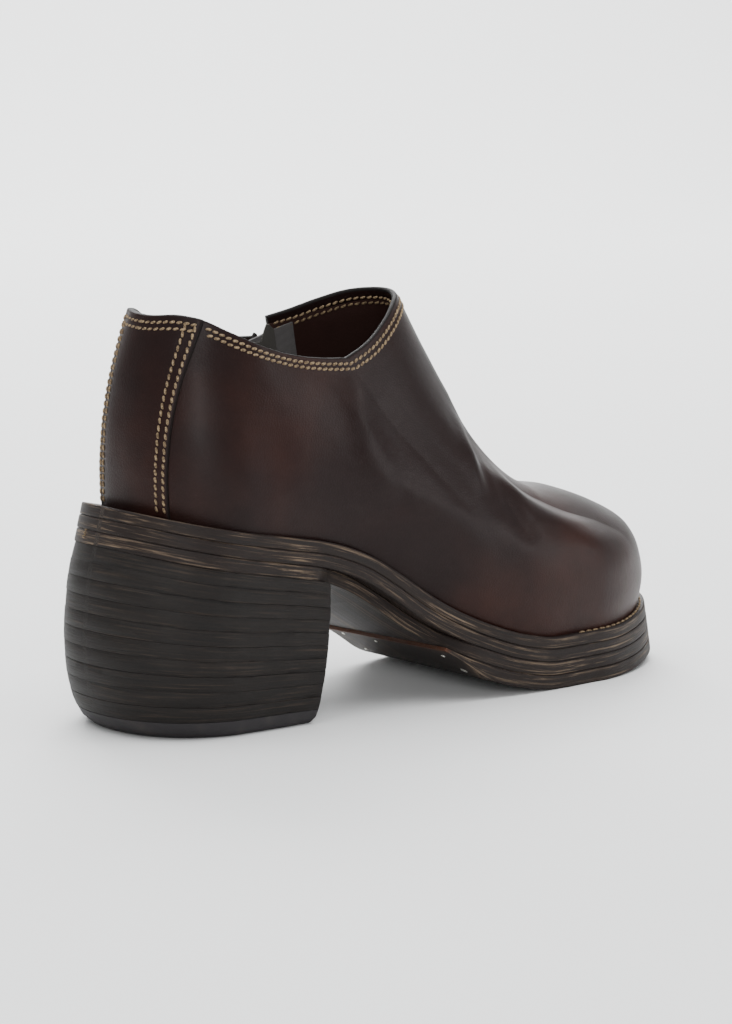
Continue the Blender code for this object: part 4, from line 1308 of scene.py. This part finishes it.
def makePull():
    # a loop round the slider's arch, a slim neck and a broader bar
    thick = pull["thickness"] / 2
    loops = [roundedBox(*size, pull["eyeSquareness"], 32) for size in (pull["eyeOuter"], pull["eyeInner"])]
    outer, inner = (loop + (pull["eyeMiddle"], 0.0) for loop in loops)
    eye = loopSlab(outer, inner, -thick, thick, 0.0003)
    along = np.linspace(pull["steps"][0], pull["steps"][-1], 34)
    side = np.stack([along, curve(pull["steps"], pull["half"], along)], -1)
    bar = slab(np.concatenate([side, (side * (1, -1))[::-1]]), 0.00002 - thick, thick - 0.00002, 0.00028)
    parts = [placed(part, pullAxle, *sliderWays) for part in (eye, bar)]
    makePiece("zipPullTab", *joined(parts), zipPaint, "zip_metal", "pull", ("zip_pull",), 45)


def onZip(along):
    # a place on the zip's line, with the directions down the line, aside and out there
    hit, normal = onUpper(along)
    down = unit(onUpper(along + 0.002)[0] - onUpper(along - 0.002)[0])
    out = squared(normal, down)
    return hit, down, np.cross(out, down), out


teeth = {
    "size": (0.00085, 0.00165),
    "levels": (-0.0020, -0.0005),
    "edge": 0.0003,
    "aside": 0.00065,
    "fromSlider": 0.0008,
    "fromEnd": 0.0052,
}
stop = {"size": (0.0023, 0.0022), "levels": (-0.0021, 0.0003), "edge": 0.0004, "below": 0.0026}


def makeTeeth():
    start = slider["start"] + slider["length"] + teeth["fromSlider"]
    end = zipLength - zipLine["point"] - teeth["fromEnd"]
    count = int((end - start) / (zipLine["pitch"] / 2))
    parts = []
    for n in range(count):
        tooth = roundedBox(*teeth["size"], 3.0, 16)
        tooth[:, 1] += teeth["aside"] * (1 if n % 2 else -1)
        along = start + (n + 0.5) * (end - start) / count
        parts.append(placed(slab(tooth, *teeth["levels"], teeth["edge"]), *onZip(along)))
    makePiece("zipTeeth", *joined(parts), zipPaint, "zip_metal", stands=("zip_teeth",), sharp=45)
    block = slab(roundedBox(*stop["size"], 3.4, 24), *stop["levels"], stop["edge"])
    block = placed(block, *onZip(end + stop["below"]))
    makePiece("zipBottomStop", *block, tackPaint, "zip_metal", stands=("zip_stop",), sharp=45)


guard = {"levels": (0.34, 0.993), "reach": (-0.0055, 0.0165), "near": -0.00185, "far": -0.00245}


def makeGuard():
    # the cloth behind the zip's rear side, up to the collar's edge
    levels = np.linspace(*guard["levels"], 46)
    rear = skinAngles(levels)[:, slitColumn + 1]
    step = np.linalg.norm(lastPoint(rear + 0.01, levels) - lastPoint(rear, levels), axis=1) / 0.01
    angles = rear[:, None] + np.linspace(*guard["reach"], 12) / step[:, None]
    near, far = (lastPoint(angles, levels[:, None], guard[face]) for face in ("near", "far"))
    makePiece("zipGuardCloth", *closedShell(near, far), guardPaint, "zip_cloth", sharp=60)


makeSlider()
makePull()
makeTeeth()
makeGuard()
tape = frame["nodes"]["zip_tape"].data
tape.materials.clear()
tape.materials.append(tapePaint)
print("zip and small metal made")


# Floor, light and camera

studio = {
    "floor": srgb(236, 237, 237),
    "wall": srgb(242, 243, 243),
    "air": (0.93, 0.94, 0.95, 1),
    "strength": 0.50,
    "front": -2.5,
    "bendStart": 1.6,
    "bend": 0.9,
    "rises": (0.6, 1.4, 2.2),
    "halfWidth": 3.0,
}
view = {
    "azimuth": -37.0,
    "elevation": 12.0,
    "distance": 1.60,
    "lens": 157.0,
    "foot": (-0.0868, 0.0, 0.0),
    "aim": (-0.002, 0.0, 0.066),
}


def makeFloor():
    # a paper sweep: level under the shoe, rising behind it
    start, bend = studio["bendStart"], studio["bend"]
    profile = [(a, 0.0) for a in np.linspace(studio["front"], start, 8)]
    for turn in np.linspace(0, math.pi / 2, 14)[1:]:
        profile.append((start + bend * math.sin(turn), bend * (1 - math.cos(turn))))
    profile += [(start + bend, bend + rise) for rise in studio["rises"]]
    sides = np.linspace(-studio["halfWidth"], studio["halfWidth"], 9)
    points = np.array([(side, back, height) for back, height in profile for side in sides])
    c, s = math.cos(math.radians(view["azimuth"])), math.sin(math.radians(view["azimuth"]))
    points[:, :2] = points[:, :2] @ np.array(((c, s), (-s, c)))
    mesh = bpy.data.meshes.new("paperSweep")
    mesh.from_pydata(points.tolist(), [], gridFaces(len(profile), len(sides), False).tolist())
    paint = Paint("palePaper", roughness=0.85, Specular_IOR_Level=0.2)
    mottle = paint.noise(3.0, 2).limited(0.3, 0.7) * 0.25
    paint.put("Base Color", paint.mix(mottle, studio["floor"], studio["wall"]))
    mesh.materials.append(paint.material)
    mesh.shade_smooth()
    floor = bpy.data.objects.new("paperSweep", mesh)
    bpy.context.scene.collection.objects.link(floor)


lamps = (
    {"name": "overhead", "place": (0.0, 0.1, 2.0), "size": (2.8, 2.4), "power": 80},
    {"name": "farSide", "place": (1.1, 1.8, 1.5), "size": (1.6, 1.2), "power": 84},
    {"name": "toeSide", "place": (1.7, -1.5, 0.55), "size": (0.25, 1.0), "power": 13},
    {"name": "heelSide", "place": (-1.5, -1.9, 0.8), "size": (0.3, 0.9), "power": 24},
)


def makeLights():
    for lamp in lamps:
        light = bpy.data.lights.new(lamp["name"], "AREA")
        light.shape = "RECTANGLE"
        light.size, light.size_y = lamp["size"]
        light.energy = lamp["power"]
        holder = bpy.data.objects.new(lamp["name"], light)
        holder.location = lamp["place"]
        holder.rotation_euler = (Vector((0, 0, 0.06)) - holder.location).to_track_quat("-Z", "Y").to_euler()
        bpy.context.scene.collection.objects.link(holder)
    world = bpy.data.worlds.new("studioAir")
    world.use_nodes = True
    world.node_tree.nodes["Background"].inputs["Color"].default_value = studio["air"]
    world.node_tree.nodes["Background"].inputs["Strength"].default_value = studio["strength"]
    bpy.context.scene.world = world


def makeCamera():
    turn, rise = math.radians(view["azimuth"]), math.radians(view["elevation"])
    back = Vector((math.sin(turn) * math.cos(rise), -math.cos(turn) * math.cos(rise), math.sin(rise)))
    camera = bpy.data.cameras.new("photoView")
    camera.sensor_width = 36.0
    camera.lens = view["lens"]
    camera.clip_end = 30.0
    holder = bpy.data.objects.new("photoView", camera)
    holder.location = Vector(view["foot"]) + back * view["distance"]
    holder.rotation_euler = (Vector(view["aim"]) - holder.location).to_track_quat("-Z", "Y").to_euler()
    bpy.context.scene.collection.objects.link(holder)
    bpy.context.scene.camera = holder


makeFloor()
makeLights()
makeCamera()
print("scene ready")
